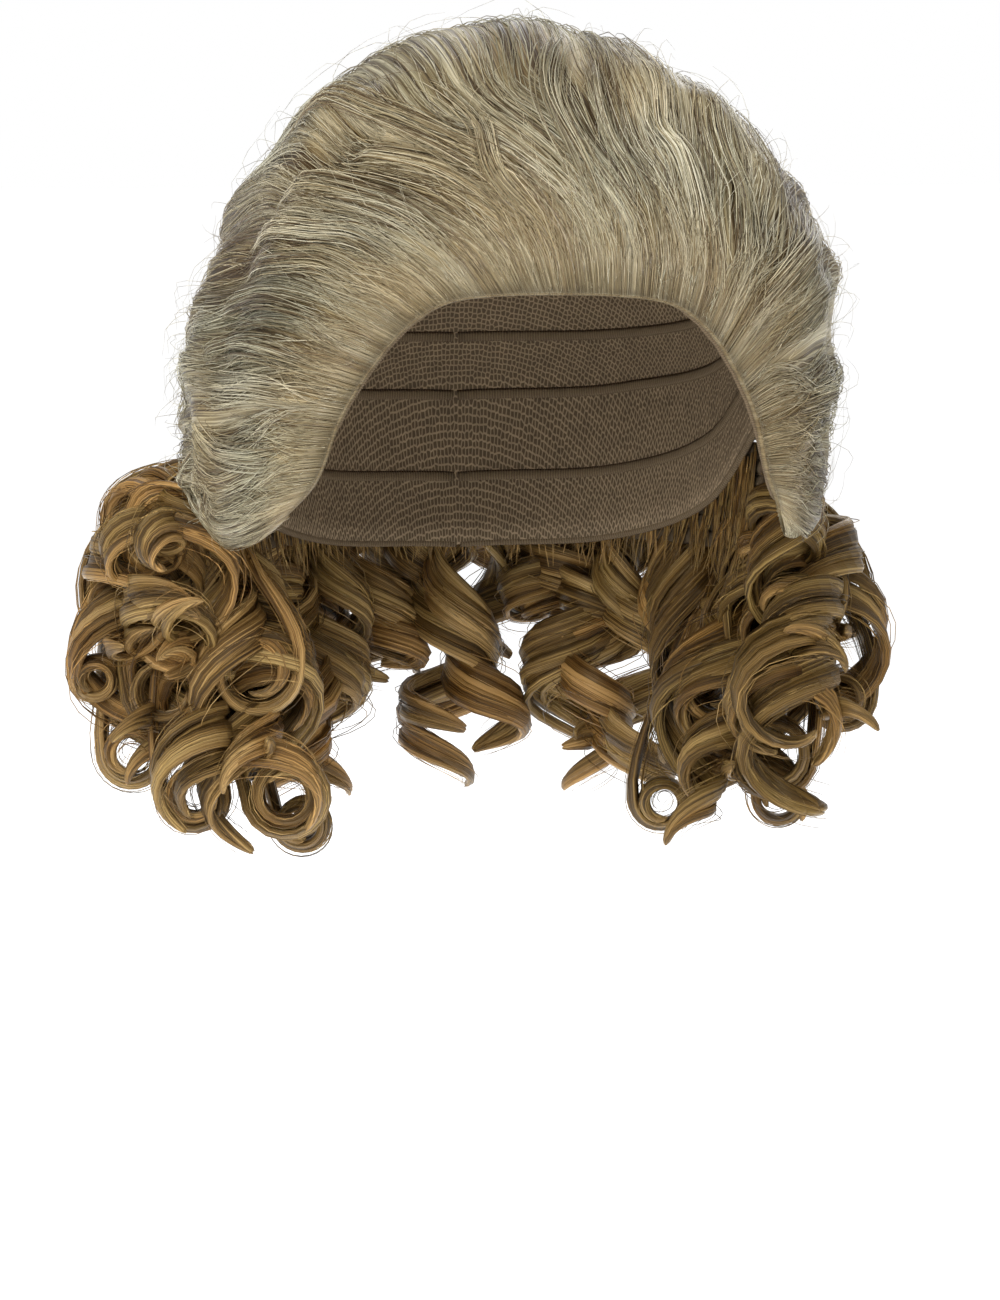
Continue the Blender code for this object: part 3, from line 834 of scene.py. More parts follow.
class Finish:
    """A material under its own name, with the nodes that work out what its shader gets."""

    def __init__(self, name):
        self.material = bpy.data.materials.new(name)
        self.material.use_nodes = True
        self.tree = self.material.node_tree
        self.shader = self.tree.nodes["Principled BSDF"]

    def add(self, kind, settings=None, inputs=None, output=0):
        """Adds a node, sets it, gives its sockets their values or links, and returns one output."""
        node = self.tree.nodes.new(kind)
        for name, value in (settings or {}).items():
            if name == "stops":
                self.set_stops(node.color_ramp, value)
            else:
                setattr(node, name, value)
        for name, value in (inputs or {}).items():
            self.connect(node.inputs[name], value)
        return Wire(self, node.outputs[output])

    def set_stops(self, ramp, stops):
        while len(ramp.elements) < len(stops):
            ramp.elements.new(1.0)
        for element, (place, colour) in zip(ramp.elements, stops):
            element.position = place
            element.color = (*colour, 1)

    def connect(self, socket, value):
        if isinstance(value, Wire):
            self.tree.links.new(value.socket, socket)
        else:
            socket.default_value = value

    def set(self, **values):
        """Sets or links the shader's own sockets, named with underscores for spaces."""
        for name, value in values.items():
            self.connect(self.shader.inputs[name.replace("_", " ")], value)

    def streaks(self, flow, across, along, detail=2.0, roughness=0.5):
        """Noise drawn out along the hair: features per unit of the flow map, across and along."""
        place = self.add("ShaderNodeVectorMath", {"operation": "MULTIPLY"}, {0: flow, 1: (across, along, 0)})
        return self.add(
            "ShaderNodeTexNoise",
            {"noise_dimensions": "2D"},
            {"Vector": place, "Scale": 1.0, "Detail": detail, "Roughness": roughness},
        )

    def flow(self):
        """The piece's own map of the hair's flow."""
        return self.add("ShaderNodeUVMap", {"uv_map": "flow"})

    def grey(self, value):
        return self.add("ShaderNodeCombineColor", {}, {0: value, 1: value, 2: value})

    def bump(self, strength, distance, height):
        inputs = {"Strength": strength, "Distance": distance, "Height": height}
        return self.add("ShaderNodeBump", {}, inputs)

    def ramp(self, value, first, last, low, high):
        """A value eased from low to high as another goes from its first to its last."""
        return self.add(
            "ShaderNodeMapRange",
            {"interpolation_type": "SMOOTHSTEP"},
            {0: value, 1: first, 2: last, 3: low, 4: high},
        )

    def mix(self, factor, one, other, blend="MIX"):
        """A colour between two others."""
        return self.add(
            "ShaderNodeMix",
            {"data_type": "RGBA", "blend_type": blend},
            {0: factor, 6: one, 7: other},
            output=2,
        )


def hair_finish(name, look):
    """Satin fibre: wisps of several tones, single hairs lighter or darker, and a bump along them."""
    finish = Finish(name)
    flow = finish.flow()
    patches = finish.streaks(flow, 4.5, 2.4, detail=1.0)
    wisps = finish.streaks(flow, 24.0, 1.6, detail=2.0)
    tresses = finish.streaks(flow, 110.0, 2.4, detail=1.0)
    hairs = finish.streaks(flow, 420.0, 3.0, detail=1.0)
    fine = finish.streaks(flow, 1300.0, 6.0, detail=0.0)
    spread = 0.5 + (wisps * 1.5 + tresses + hairs - 1.75) * look.variety
    tone = finish.add("ShaderNodeValToRGB", {"stops": look.tones}, {0: spread})
    warm = finish.ramp(patches, 0.50, 0.66, 0.0, 0.55)
    cool = finish.ramp(patches, 0.36, 0.50, 0.50, 0.0)
    colour = finish.mix(warm, tone, finish.mix(1.0, tone, look.warm, blend="MULTIPLY"))
    colour = finish.mix(cool, colour, finish.mix(1.0, tone, look.cool, blend="MULTIPLY"))
    along = finish.add("ShaderNodeSeparateXYZ", {}, {0: flow}, output=1)
    # Darker towards the roots: partly the hair's own root colour, partly painted shade where the roots lie
    # under the hair above them.
    colour = finish.mix(finish.ramp(along, 0.0, look.root_reach, 0.60, 0.0), colour, look.roots)
    colour = finish.mix(finish.ramp(along, 0.72, 1.0, 0.0, 0.35), colour, look.tips)
    shade = finish.add(
        "ShaderNodeMapRange", {}, {0: hairs * 0.6 + fine * 0.4, 1: 0.3, 2: 0.7, 3: look.dark, 4: look.light}
    )
    # Painted shade: darker at the hair's very edge at the face, past the cap's rim, where the hair turns
    # under.
    shade = shade * finish.ramp(along, -0.018, -0.008, 0.75, 1.0)
    colour = finish.mix(1.0, colour, finish.grey(shade), blend="MULTIPLY")
    finish.set(
        Base_Color=colour,
        Roughness=look.roughness + hairs * 0.16 - 0.08,
        Normal=finish.bump(look.bump, 0.0004, tresses + hairs + fine * 0.4),
        Specular_IOR_Level=look.shine,
        Specular_Tint=look.gloss,
    )
    return finish.material


def net_finish(name, thread, ground):
    """A fine woven net: crossed threads over a darker ground, with fuzz."""
    finish = Finish(name)
    place = finish.add("ShaderNodeTexCoord", output=3)
    flow = finish.flow()
    holes = finish.add(
        "ShaderNodeTexVoronoi",
        {"feature": "DISTANCE_TO_EDGE", "voronoi_dimensions": "2D"},
        {"Vector": flow, "Scale": 95.0, "Randomness": 0.45},
    )
    threads = finish.ramp(holes, 0.06, 0.20, 1.0, 0.0)
    fuzz = finish.add("ShaderNodeTexNoise", {}, {"Vector": place, "Scale": 260.0, "Detail": 4.0})
    colour = finish.mix(threads, ground, thread)
    colour = finish.mix(0.35, colour, finish.grey(fuzz), blend="OVERLAY")
    bump = finish.bump(0.5, 0.0002, threads)
    finish.set(Base_Color=colour, Roughness=0.82 + fuzz * 0.12, Normal=bump, Specular_IOR_Level=0.25)
    return finish.material


def tape_finish(name, light, dark):
    """A sewn tape: ribs across it, as of a machine-stitched weft."""
    finish = Finish(name)
    flow = finish.flow()
    ribs = finish.add(
        "ShaderNodeTexWave",
        {"wave_type": "BANDS", "bands_direction": "Y", "wave_profile": "SIN"},
        {"Vector": flow, "Scale": 60.0, "Distortion": 1.2, "Detail": 2.0, "Detail Scale": 30.0},
    )
    fuzz = finish.streaks(flow, 900.0, 90.0, detail=3.0)
    colour = finish.mix(ribs * 0.7 + fuzz * 0.3, dark, light)
    bump = finish.bump(0.7, 0.0004, ribs + fuzz * 0.4)
    finish.set(Base_Color=colour, Roughness=0.7 + fuzz * 0.2, Normal=bump, Specular_IOR_Level=0.3)
    return finish.material


def paper_finish(name, colour):
    """The pale studio floor, with the faintest grain. It glows a little, to look as white as the room."""
    finish = Finish(name)
    place = finish.add("ShaderNodeTexCoord", output=3)
    grain = finish.add("ShaderNodeTexNoise", {}, {"Vector": place, "Scale": 30.0, "Detail": 3.0})
    finish.set(
        Base_Color=finish.mix(grain * 0.06, colour, (0.80, 0.80, 0.79, 1)),
        Roughness=0.85 + grain * 0.1,
        Specular_IOR_Level=0.1,
        Emission_Color=(1.0, 1.0, 1.0, 1),
        Emission_Strength=FLOOR_GLOW,
    )
    return finish.material


def cap_tilt(azimuth, share):
    """How far a place on the cap leans from straight up, for a share of the way from the crown to the rim."""
    turned = np.abs((np.asarray(azimuth) + 180) % 360 - 180)
    rim = read(CAP_RIM, "drop", turned)
    below_widest = np.arcsin(np.clip((rim - 1) * CROWN_DEPTH / LOWER_DEPTH, 0, 1))
    return share * (np.arccos(np.clip(1 - rim, 0, 1)) + below_widest)


def cap_point(azimuth, share, grow=0.0):
    """A point on the inside of the cap, for a share of the way from the crown to the rim."""
    tilt = cap_tilt(azimuth, share)
    upper = 1 - np.cos(tilt)
    lower = 1 - np.cos(tilt) * LOWER_DEPTH / CROWN_DEPTH
    return head_point(azimuth, np.where(tilt < math.pi / 2, upper, lower), grow)


def lengths_along(paths):
    """How far each point of each path is from the path's beginning."""
    steps = np.diff(paths, axis=1, prepend=paths[:, :1])
    return np.cumsum(np.linalg.norm(steps, axis=-1), axis=1)


def make_cap(net, tape):
    """The cap: half a ball drawn to the rim, with a wall, sewn weft rows inside and a bound edge."""
    deselect_all()
    bpy.ops.mesh.primitive_uv_sphere_add(segments=CAP_SEGMENTS, ring_count=2 * CAP_RINGS, radius=1)
    cap = bpy.context.object
    cap.name = "cap_net_shell"
    cap.data.name = cap.name
    bpy.ops.object.mode_set(mode="EDIT")
    bpy.ops.mesh.select_mode(type="VERT")
    bpy.ops.mesh.select_all(action="DESELECT")
    bpy.ops.object.mode_set(mode="OBJECT")
    for vertex in cap.data.vertices:
        vertex.select = vertex.co.z < -0.001
    bpy.ops.object.mode_set(mode="EDIT")
    bpy.ops.mesh.delete(type="VERT")
    bpy.ops.object.mode_set(mode="OBJECT")
    ball = np.array([vertex.co for vertex in cap.data.vertices])
    azimuth = np.degrees(np.arctan2(ball[:, 0], -ball[:, 1]))
    share = np.arccos(np.clip(ball[:, 2], 0, 1)) / (math.pi / 2)
    cap.data.vertices.foreach_set("co", cap_point(azimuth, share).ravel())
    from_crown = cap_tilt(azimuth, share) * CROWN_DEPTH * FLOW_PER_METRE
    map_flow(cap.data, around(azimuth)[:, :2] * from_crown[:, None])
    give_wall(cap, CAP_WALL, 1)
    dress(cap, net, "cap", slot="cap_net")
    turns = np.linspace(-179.6, 179.6, CAP_SEGMENTS + 1)
    rows = np.linspace(0.16, 0.92, WEFT_ROWS)
    paths = np.array([cap_point(turns, row, grow=-0.0002) for row in rows])
    flow = stacked(rows[:, None], lengths_along(paths) * FLOW_PER_METRE)
    wefts = sweep("cap_weft_rows", paths, unit(MIDDLE - paths), WEFT_WIDTH, WEFT_DEPTH, flow, sides=6)
    dress(wefts, tape, slot="cap_net")
    rim = cap_point(turns, 1.0, grow=CAP_WALL / 2)[None]
    flow = stacked(0, lengths_along(rim) * FLOW_PER_METRE)
    facing = unit(rim - MIDDLE)
    binding = sweep("cap_edge_binding", rim, facing, BINDING_WIDTH, BINDING_DEPTH, flow, sides=8)
    dress(binding, tape, slot="cap_net")


def body_sheet(first, last):
    """For a stretch of the light hair: the place of a point of its sheet, and the hair's flow there."""

    def way(share, beside):
        return share * (1 + OVERHANG) - OVERHANG, crowded(first + (last - first) * beside)

    def place(share, beside):
        return hair_point(*way(share, beside), BODY_SUNK)

    def flow(share, beside):
        along, across = way(share, beside)
        return stacked(uncombed(along, across), along)

    return place, flow


def body_inward(body):
    """The Solidify offset that keeps a sheet's outside where it is and adds its wall to the inside."""
    face = body.data.polygons[len(body.data.polygons) // 2]
    return -1 if face.normal.dot(face.center - Vector(MIDDLE)) > 0 else 1


def make_hair_body(name, first, last, columns, finish, node):
    """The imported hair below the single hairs."""
    body = grid_piece(name, BODY_ROWS, columns, *body_sheet(first, last))
    give_wall(body, BODY_WALL, body_inward(body))
    dress(body, finish, node, slot="light_hair")


def lay_locks(count, first, last, chance):
    """Loose locks side by side: each one's middle, its sway, and how it turns on itself."""
    middles = crowded(first + (last - first) * (np.arange(count) + chance.uniform(0.2, 0.8, count)) / count)
    sway = LOCK_SWAY * chance.uniform(-1.3, 1.3, count)
    waves = chance.uniform(1.2, 2.4, count)
    begin = chance.random(count)
    turn = chance.uniform(-0.7, 0.7, count)
    rise = LOCK_RISE * chance.uniform(0.5, 1.3, count)
    return np.stack([middles, sway, waves, begin, turn, rise])


def lay_hairs(count, first, last, seed):
    """Where the single hairs lie: their places along and across, how far they are sunk, and their lift."""
    chance = np.random.default_rng(seed)
    own = crowded(first + (last - first) * (np.arange(count) + chance.random(count)) / count)
    locks = lay_locks(int(round((last - first) / LOCK_WIDTH)), first, last, chance)
    near = own[:, None] + chance.normal(0, LOCK_WIDTH * 0.3, (count, 1))
    nearest = np.abs(near - locks[0]).argmin(axis=1)
    middle, sway, waves, begin, turn, rise = locks[:, nearest, None]
    share = steps(HAIR_POINTS)
    from_edge = chance.random(count) < FROM_HAIRLINE
    root = np.where(from_edge, -OVERHANG, 0.01 + 0.80 * chance.random(count) ** 1.3)
    stretch = chance.uniform(*HAIR_RUN, count)
    tip = np.minimum(root + stretch, 1 - 0.03 * chance.random(count))
    along = root[:, None] + (tip - root)[:, None] * share
    out = np.sqrt(chance.random((count, 1)))
    angle = 2 * math.pi * (chance.random((count, 1)) + turn * along)
    loose = smooth((along - 0.02) / 0.16)
    in_lock = middle + LOCK_SPREAD * LOCK_WIDTH * out * np.cos(angle)
    across = own[:, None] + (in_lock - own[:, None]) * loose
    sway = sway * wave(waves * along + begin)
    comb = COMB_SWAY * wave(COMB_WAVES * along + 1.3 * np.abs(across) + 0.2)
    stray = chance.normal(0, HAIR_STRAY, (count, 1)) * (share - 0.3)
    across = combed(along, across)
    _, parting = swelling(along, across)
    across = across + (sway + comb + stray + parting) * smooth(along / 0.14) * calm_edges(0.5, across)
    rooted = np.where(from_edge[:, None], 1.0, smooth(share / 0.2))
    tucked = rooted * smooth((1 - share) / 0.15)
    sunk = TUCKED_SUNK + (HAIR_SUNK * chance.random((count, 1)) - TUCKED_SUNK) * tucked
    lift = rise * out * np.sin(angle) * loose * tucked * calm_edges(0.5, across)
    return along, np.clip(across, -1, 1), sunk, lift


def make_light_hairs(name, count, first, last, seed, finish):
    """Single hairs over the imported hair, combed along the strands and gathered in loose locks."""
    along, across, sunk, lift = lay_hairs(count, first, last, seed)
    points = hair_point(along, across, sunk)
    outward = unit(points - MIDDLE)
    points = points + outward * lift[..., None]
    share = steps(HAIR_POINTS)
    chance = np.random.default_rng(seed + 1)
    width = HAIR_WIDTH * (HAIR_VARIETY[0] + HAIR_VARIETY[1] * chance.random((count, 1)))
    taper = eased_ends(share, 0.5, 0.1, 0.15, 0.3)
    tone = across[:, :1] + chance.normal(0, 0.010, (count, 1))
    piece = sweep(name, points, outward, width * taper, HAIR_DEPTH * taper, stacked(tone, along))
    dress(piece, finish, slot="light_hair")


def make_raised_locks(name, locks, count, side, seed, finish):
    """The loose hairs over raised locks, which begin and end at different places along them."""
    chance = np.random.default_rng(seed)
    share = steps(RAISED_POINTS)
    made = []
    for lock in locks:
        first = 0.30 * chance.random((count, 1))
        last = 1 - 0.30 * chance.random((count, 1))
        own = first + (last - first) * share
        along, across = np.moveaxis(through(lock.places, own), -1, 0)
        across = side * across
        outward = unit(strand_direction(along, across))
        line = hair_point(along, across, 0.0)
        beside = unit(np.cross(unit(np.gradient(line, axis=1)), outward))
        seat = chance.normal(0, 0.55, (count, 1)) + chance.normal(0, 0.5, (count, 1)) * (share - 0.5)
        dome = np.exp(-(seat**2)) * eased_ends(own, 0, 0.25, 0, 0.25)
        above = (RAISED_LIFT + 0.30 * lock.rise * chance.random((count, 1))) * dome
        below = RAISED_TUCK * (1 - eased_ends(share, 0, 0.12, 0, 0.12))
        paths = line + beside * (seat * lock.half_width)[..., None] + outward * (above - below)[..., None]
        size = HAIR_WIDTH * eased_ends(share, 0.4, 0.15, 0.2, 0.2) + 0 * seat
        tone = across[:, :1] + chance.normal(0, 0.02, (count, 1))
        made.append((paths, outward, size, size, stacked(tone, along)))
    piece = sweep(name, *(np.concatenate(parts) for parts in zip(*made)))
    dress(piece, finish, slot="light_hair")


def make_edge_wisps(finish):
    """Short hairs that stray in small arcs over the hairline."""
    chance = np.random.default_rng(61)
    own = (EDGE_WISPS, 1)
    share = steps(WISP_POINTS)
    begin = chance.uniform(0.02, 0.06, own)
    over = chance.uniform(0.000, 0.022, own)
    along = begin - (begin + over) * np.sin(math.pi * share * chance.uniform(0.5, 1.0, own))
    across = chance.uniform(-0.93, 0.93, own) + chance.normal(0, 0.03, own) * share
    outward = unit(strand_direction(along, across))
    lift = WISP_LIFT * chance.random(own) * np.sin(math.pi * share)
    points = hair_point(along, across, HAIR_SUNK * (1 - share)) + outward * lift[..., None]
    size = FLYAWAY_WIDTH * (1 - 0.6 * share)
    piece = sweep("hairline_wisps", points, outward, size, size, stacked(across, 0.10 + 0.3 * share))
    dress(piece, finish, slot="light_hair")


def make_flyaways(finish):
    """A few loose hairs that stand off the combed ones."""
    chance = np.random.default_rng(31)
    own = (FLYAWAYS, 1)
    share = steps(FLYAWAY_POINTS)
    begin = chance.random(own) * 0.85
    along = np.minimum(begin + (0.06 + 0.20 * chance.random(own)) * share, 1)
    across = chance.random(own) * 1.9 - 0.95
    across = np.clip(across + chance.normal(0, 0.05, own) * share**1.5, -1, 1)
    lift = FLYAWAY_LIFT * chance.random(own) ** 2.5 * np.sin(math.pi * np.minimum(share * 1.2, 1) * 0.6)
    points = hair_point(along, across, 0.0)
    outward = unit(points - MIDDLE)
    size = FLYAWAY_WIDTH * (1 - 0.7 * share)
    flow = stacked(across, along)
    piece = sweep("flyaway_hairs", points + outward * lift[..., None], outward, size, size, flow)
    dress(piece, finish, slot="light_hair")


def backing_drop(share):
    """A height on the backing, as a drop: share 0 is its top, where the curls begin, and 1 its foot."""
    return BACKING_UPPER_DROP + (BACKING_LOWER_DROP - BACKING_UPPER_DROP) * share


def bezier(points, share):
    """A smooth curve that leaves the first point, bends past the next two and ends at the last."""
    share = share[:, None]
    a, b, c, d = points
    rest = 1 - share
    return a * rest**3 + 3 * b * share * rest**2 + 3 * c * share**2 * rest + d * share**3


def curl_root(lock):
    """Where a lock begins, in the backing."""
    outside = CAP_WALL + ROOT_DEPTH * BACKING_THICKNESS
    return head_point(lock.root_azimuth, backing_drop(lock.root_down), outside)


def curl_spine(lock, share, end_bend):
    """The line round which a lock winds: out of the backing, down, and at its end to the face."""
    reach_out = CURL_REACH - COIL_RADIUS
    root = curl_root(lock)
    lifted = root + around(lock.root_azimuth) * (ROOT_LIFT + max(lock.out, 0) * reach_out)
    side = head_point(lock.end_azimuth, backing_drop(lock.root_down), CAP_WALL)
    side = side + around(lock.end_azimuth) * lock.out * reach_out
    foot = -backing_drop(0) * CROWN_DEPTH - lock.down * (CURL_DROP - COIL_RADIUS)
    bend = side * (1, 1, 0) + np.array((0, 0, foot + end_bend * (root[2] - foot)))
    end = side * (1, 1, 0) + np.array((0, -lock.forward * CURL_FORWARD, foot))
    return bezier((root, lifted, bend, end), share)


def frames(line):
    """Two directions square to a line at each of its points, turning with it and not twisting."""
    ahead = unit(np.gradient(line, axis=0))
    sides = [np.array((0.0, 0.0, 1.0))]
    for direction in ahead:
        sides.append(unit(sides[-1] - direction * (sides[-1] @ direction)))
    sides = np.array(sides[1:])
    return sides, np.cross(ahead, sides)


def mirrored(locks):
    """The same locks on the other side of the wig."""
    return [
        lock._replace(
            root_azimuth=-lock.root_azimuth,
            end_azimuth=-lock.end_azimuth,
            turns=-lock.turns,
            start=-lock.start,
        )
        for lock in locks
    ]


def other_side(azimuths):
    first, last = azimuths
    return -last, -first


def lesser_locks(locks, chance):
    """Looser locks beside the main ones, in larger arcs, which close the mass of curls."""
    made = []
    for lock in locks:
        for _ in range(LESSER_EACH):
            shift = chance.normal(0, 4.0)
            made.append(
                lock._replace(
                    root_azimuth=lock.root_azimuth + shift,
                    root_down=min(max(lock.root_down + chance.normal(0, 0.2), 0.05), 0.95),
                    end_azimuth=lock.end_azimuth + shift + chance.normal(0, 3.0),
                    out=lock.out * chance.uniform(0.20, 0.95) - 0.05,
                    down=lock.down * chance.uniform(0.70, 1.02),
                    forward=lock.forward * chance.uniform(0.5, 1.3),
                    size=min(lock.size * chance.uniform(0.75, 1.20), 1.10),
                    turns=lock.turns * chance.uniform(0.55, 0.90),
                    start=lock.start + 360 * chance.random(),
                )
            )
    return made


def band_half(share):
    """Half the width of a lock along its way."""
    return BAND_WIDTH / 2 * np.minimum(1, TIP_WIDTH + TIP_TAPER * np.minimum(share, 1 - share))


def lock_band(lock, make):
    """A lock's band of hair: its middle line, the way it faces, the way across it, and half its width."""
    share = 1 - (1 - np.linspace(0, 1, make.points)) ** TIP_SPACING
    line = curl_spine(lock, share, make.end_bend)
    side, up = frames(line)
    angle = np.radians(lock.start) + 2 * math.pi * lock.turns * share**make.winding
    outward = side * np.cos(angle)[:, None] + up * np.sin(angle)[:, None]
    closed = COIL_CLOSING * smooth((share - COIL_CLOSES) / (1 - COIL_CLOSES))
    radius = lock.size * COIL_RADIUS * smooth(share / COIL_FULL) * (1 - closed)
    path = line + outward * radius[:, None]
    across = unit(np.cross(unit(np.gradient(path, axis=0)), outward))
    return path, outward, across, band_half(share)


def coil_band(coil, make):
    """The same for a lock that falls free and ends in a flat coil."""
    root = curl_root(coil)
    side = around(coil.root_azimuth)
    share = np.linspace(0, 1, make.points - COIL_FALL)[:, None]
    begin = math.pi if coil.turns > 0 else 0.0
    angle = begin + 2 * math.pi * coil.turns * share
    beside = around(90 + VIEW_AZIMUTH)
    radial = beside * np.cos(angle) + np.array((0, 0, 1)) * np.sin(angle)
    axis = around(VIEW_AZIMUTH) * COIL_ADVANCE * abs(coil.turns)
    middle = np.array((coil.x, coil.y, coil.z))
    coiled = (middle + radial * coil.radius * (1 - COIL_SHRINK * share) + axis * share) / 1000
    entry = coiled[0] - unit(coiled[1] - coiled[0]) * COIL_ENTRY
    fall = np.linspace(0, 1, COIL_FALL + 1)[:-1]
    path = np.concatenate([bezier((root, root + side * COIL_LIFT, entry, coiled[0]), fall), coiled])
    turn = smooth(np.concatenate([fall, np.ones(len(coiled))]))[:, None]
    outward = side * (1 - turn) + np.concatenate([np.repeat(radial[:1], COIL_FALL, axis=0), radial]) * turn
    ahead = unit(np.gradient(path, axis=0))
    outward = unit(outward - ahead * (outward * ahead).sum(axis=-1, keepdims=True))
    return path, outward, np.cross(ahead, outward), band_half(np.linspace(0, 1, make.points))


def make_tresses(name, bands, make, chance):
    """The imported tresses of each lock, side by side, which sway past each other and round off at the tip."""
    share = steps(make.points)
    rounded = np.sqrt(np.clip((1 - share) / 0.05, 0, 1))
    taper = eased_ends(share, 0.4, 0.1, 0.62, 0.20) * (0.10 + 0.90 * rounded)
    closing = TRESS_CLOSING + (1 - TRESS_CLOSING) * smooth((1 - share) / 0.25)
    seat, wide, deep, sways = np.array(TRESSES).T[:, :, None]
    paths, facings, widths, depths, flows = [], [], [], [], []
    for number, (path, outward, across, half) in enumerate(bands):
        begin = chance.random((len(TRESSES), 1))
        sway = sways * wave(1.2 * share + begin)
        bulge = 1 + 0.12 * wave(1.9 * share + 1.7 * begin)
        above = sways * np.cos(2 * math.pi * (1.1 * share + 2.3 * begin)) * BAND_THICKNESS
        paths.append(
            path[None]
            + across[None] * ((seat + sway) * closing * half[None])[..., None]
            + outward[None] * (above * closing)[..., None]
        )
        facings.append(np.broadcast_to(outward[None], paths[-1].shape))
        widths.append(2 * half[None] * wide * taper * bulge)
        depths.append(BAND_THICKNESS * deep * taper * bulge)
        flows.append(stacked(number * LOCK_SHIFT + seat * BAND_WIDTH / 2 * CURL_FLOW, share))
    joined = (np.concatenate(parts) for parts in (paths, facings, widths, depths, flows))
    return sweep(name, *joined, sides=make.sides, flow_rate=CURL_FLOW)


def lock_hairs(band, number, make, chance):
    """The loose hairs on one lock: paths, outward directions, widths, depths and flow."""
    path, outward, across, half = band
    own = (make.hairs, 1)
    share = steps(make.points)
    angle = 2 * math.pi * (chance.random(own) + 0.30 * chance.normal(0, 1, own) * share)
    spread = 1.02 + 1.10 * chance.random(own) ** 3 * (0.3 + share)
    aside = np.cos(angle) * spread
    above = np.sin(angle) * spread
    paths = (
        path[None]
        + across[None] * (aside * half[None])[..., None]
        + outward[None] * (above * BAND_THICKNESS * 0.5)[..., None]
    )
    width = CURL_HAIR_WIDTH * eased_ends(share, 0.5, 0.1, 0.15, 0.25) + 0 * aside
    flow = stacked(number * LOCK_SHIFT + aside * BAND_WIDTH / 2 * CURL_FLOW, share)
    return paths, np.broadcast_to(outward[None], paths.shape), width, width, flow


def make_locks(name, bands, make, chance, hair, *nodes):
    """Locks of one make: their close-laid tresses, and the loose hairs on them."""
    dress(make_tresses(name + "_locks", bands, make, chance), hair, *nodes, slot="brown_hair")
    made = [lock_hairs(band, number, make, chance) for number, band in enumerate(bands)]
    piece = sweep(name + "_hairs", *(np.concatenate(parts) for parts in zip(*made)))
    dress(piece, hair, slot="brown_hair")


def make_curls(node, azimuths, locks, coils, seed, hair, tape):
    """A group of ringlets and the sewn rows that carry it."""
    chance = np.random.default_rng(seed)
    main = [lock_band(lock, MAIN_MAKE) for lock in locks] + [coil_band(coil, MAIN_MAKE) for coil in coils]
    make_locks(node, main, MAIN_MAKE, chance, hair, node)
    lesser = [lock_band(lock, LESSER_MAKE) for lock in lesser_locks(locks, chance)]
    make_locks(node + "_lesser", lesser, LESSER_MAKE, chance, hair)
    down = np.linspace(0.04, 0.96, STRIP_ROWS)[:, None]
    azimuth = np.linspace(*azimuths, ROW_POINTS)[None, :]
    rows = head_point(azimuth, backing_drop(down), CAP_WALL + BACKING_THICKNESS / 2)
    flow = stacked(down, np.linspace(0, 2, ROW_POINTS)[None, :] + down)
    facing = unit(rows - MIDDLE)
    strip = sweep(node + "_sewn_rows", rows, facing, STRIP_ROW_WIDTH, STRIP_ROW_DEPTH, flow, sides=8)
    dress(strip, tape, slot="brown_hair")
    lay_weft_hairs(node + "_inner_hairs", azimuths, -WEFT_CLEAR, 0.0, chance, hair)
    lay_weft_hairs(node + "_root_hairs", azimuths, BACKING_THICKNESS, WEFT_BULGE, chance, hair)


def lay_weft_hairs(name, azimuths, clear, bulge, chance, hair):
    """The short hair that hides the sewn rows, so far off the cap and bulging by so much."""
    own = (WEFT_HAIRS, 1)
    share = steps(WEFT_HAIR_POINTS)
    first, last = azimuths
    root = first + (last - first) * (np.arange(WEFT_HAIRS)[:, None] + chance.random(own)) / WEFT_HAIRS
    drift = chance.normal(0, 2.0, own) * share**2
    azimuth = root + drift + 0.8 * np.sin(9 * share + 7 * chance.random(own)) * share
    begin = chance.uniform(-0.16, 0.25, own)
    down = begin + (chance.uniform(0.9, 1.35, own) - begin) * share
    points = head_point(azimuth, backing_drop(down), CAP_WALL + clear)
    lift = bulge * chance.uniform(0.4, 1.0, own) * smooth(share / 0.6)
    outward = around(azimuth)
    size = WEFT_HAIR_WIDTH * (1 - 0.8 * share**3)
    flow = stacked(azimuth[:, :1] / 20, 0.04 + share)
    piece = sweep(name, points + outward * lift[..., None], outward, size, size, flow)
    dress(piece, hair, slot="brown_hair")


def add_floor(paper):
    """The pale floor, which goes on past every view."""

    def place(share, across):
        return stacked((across - 0.5) * FLOOR_SIZE, (share - 0.5) * FLOOR_SIZE, FLOOR_LEVEL)

    sheet = grid_piece("studio_floor", 8, 8, place, lambda along, across: stacked(across, along))
    sheet.data.materials.append(paper)


def add_light(lamp):
    """A soft box that faces the wig."""
    light = bpy.data.lights.new(lamp.name, "AREA")
    light.shape = "DISK"
    light.size = lamp.size
    light.energy = lamp.power
    made = bpy.data.objects.new(lamp.name, light)
    made.location = lamp.place
    made.visible_camera = False
    aim = Vector(MIDDLE) - Vector(lamp.place)
    made.rotation_euler = aim.to_track_quat("-Z", "Y").to_euler()
    bpy.context.scene.collection.objects.link(made)


def add_world():
    """White all round, and dimmer as a light than it looks."""
    world = bpy.data.worlds.new("studio")
    world.use_nodes = True
    nodes, links = world.node_tree.nodes, world.node_tree.links
    lighting = nodes["Background"]
    seen = nodes.new("ShaderNodeBackground")
    for backdrop, strength in ((lighting, ROOM_LIGHT), (seen, ROOM_SEEN)):
        backdrop.inputs["Color"].default_value = (1.0, 1.0, 1.0, 1)
        backdrop.inputs["Strength"].default_value = strength
    mixed = nodes.new("ShaderNodeMixShader")
    links.new(nodes.new("ShaderNodeLightPath").outputs["Is Camera Ray"], mixed.inputs[0])
    links.new(lighting.outputs[0], mixed.inputs[1])
    links.new(seen.outputs[0], mixed.inputs[2])
    links.new(mixed.outputs[0], nodes["World Output"].inputs["Surface"])
    bpy.context.scene.world = world


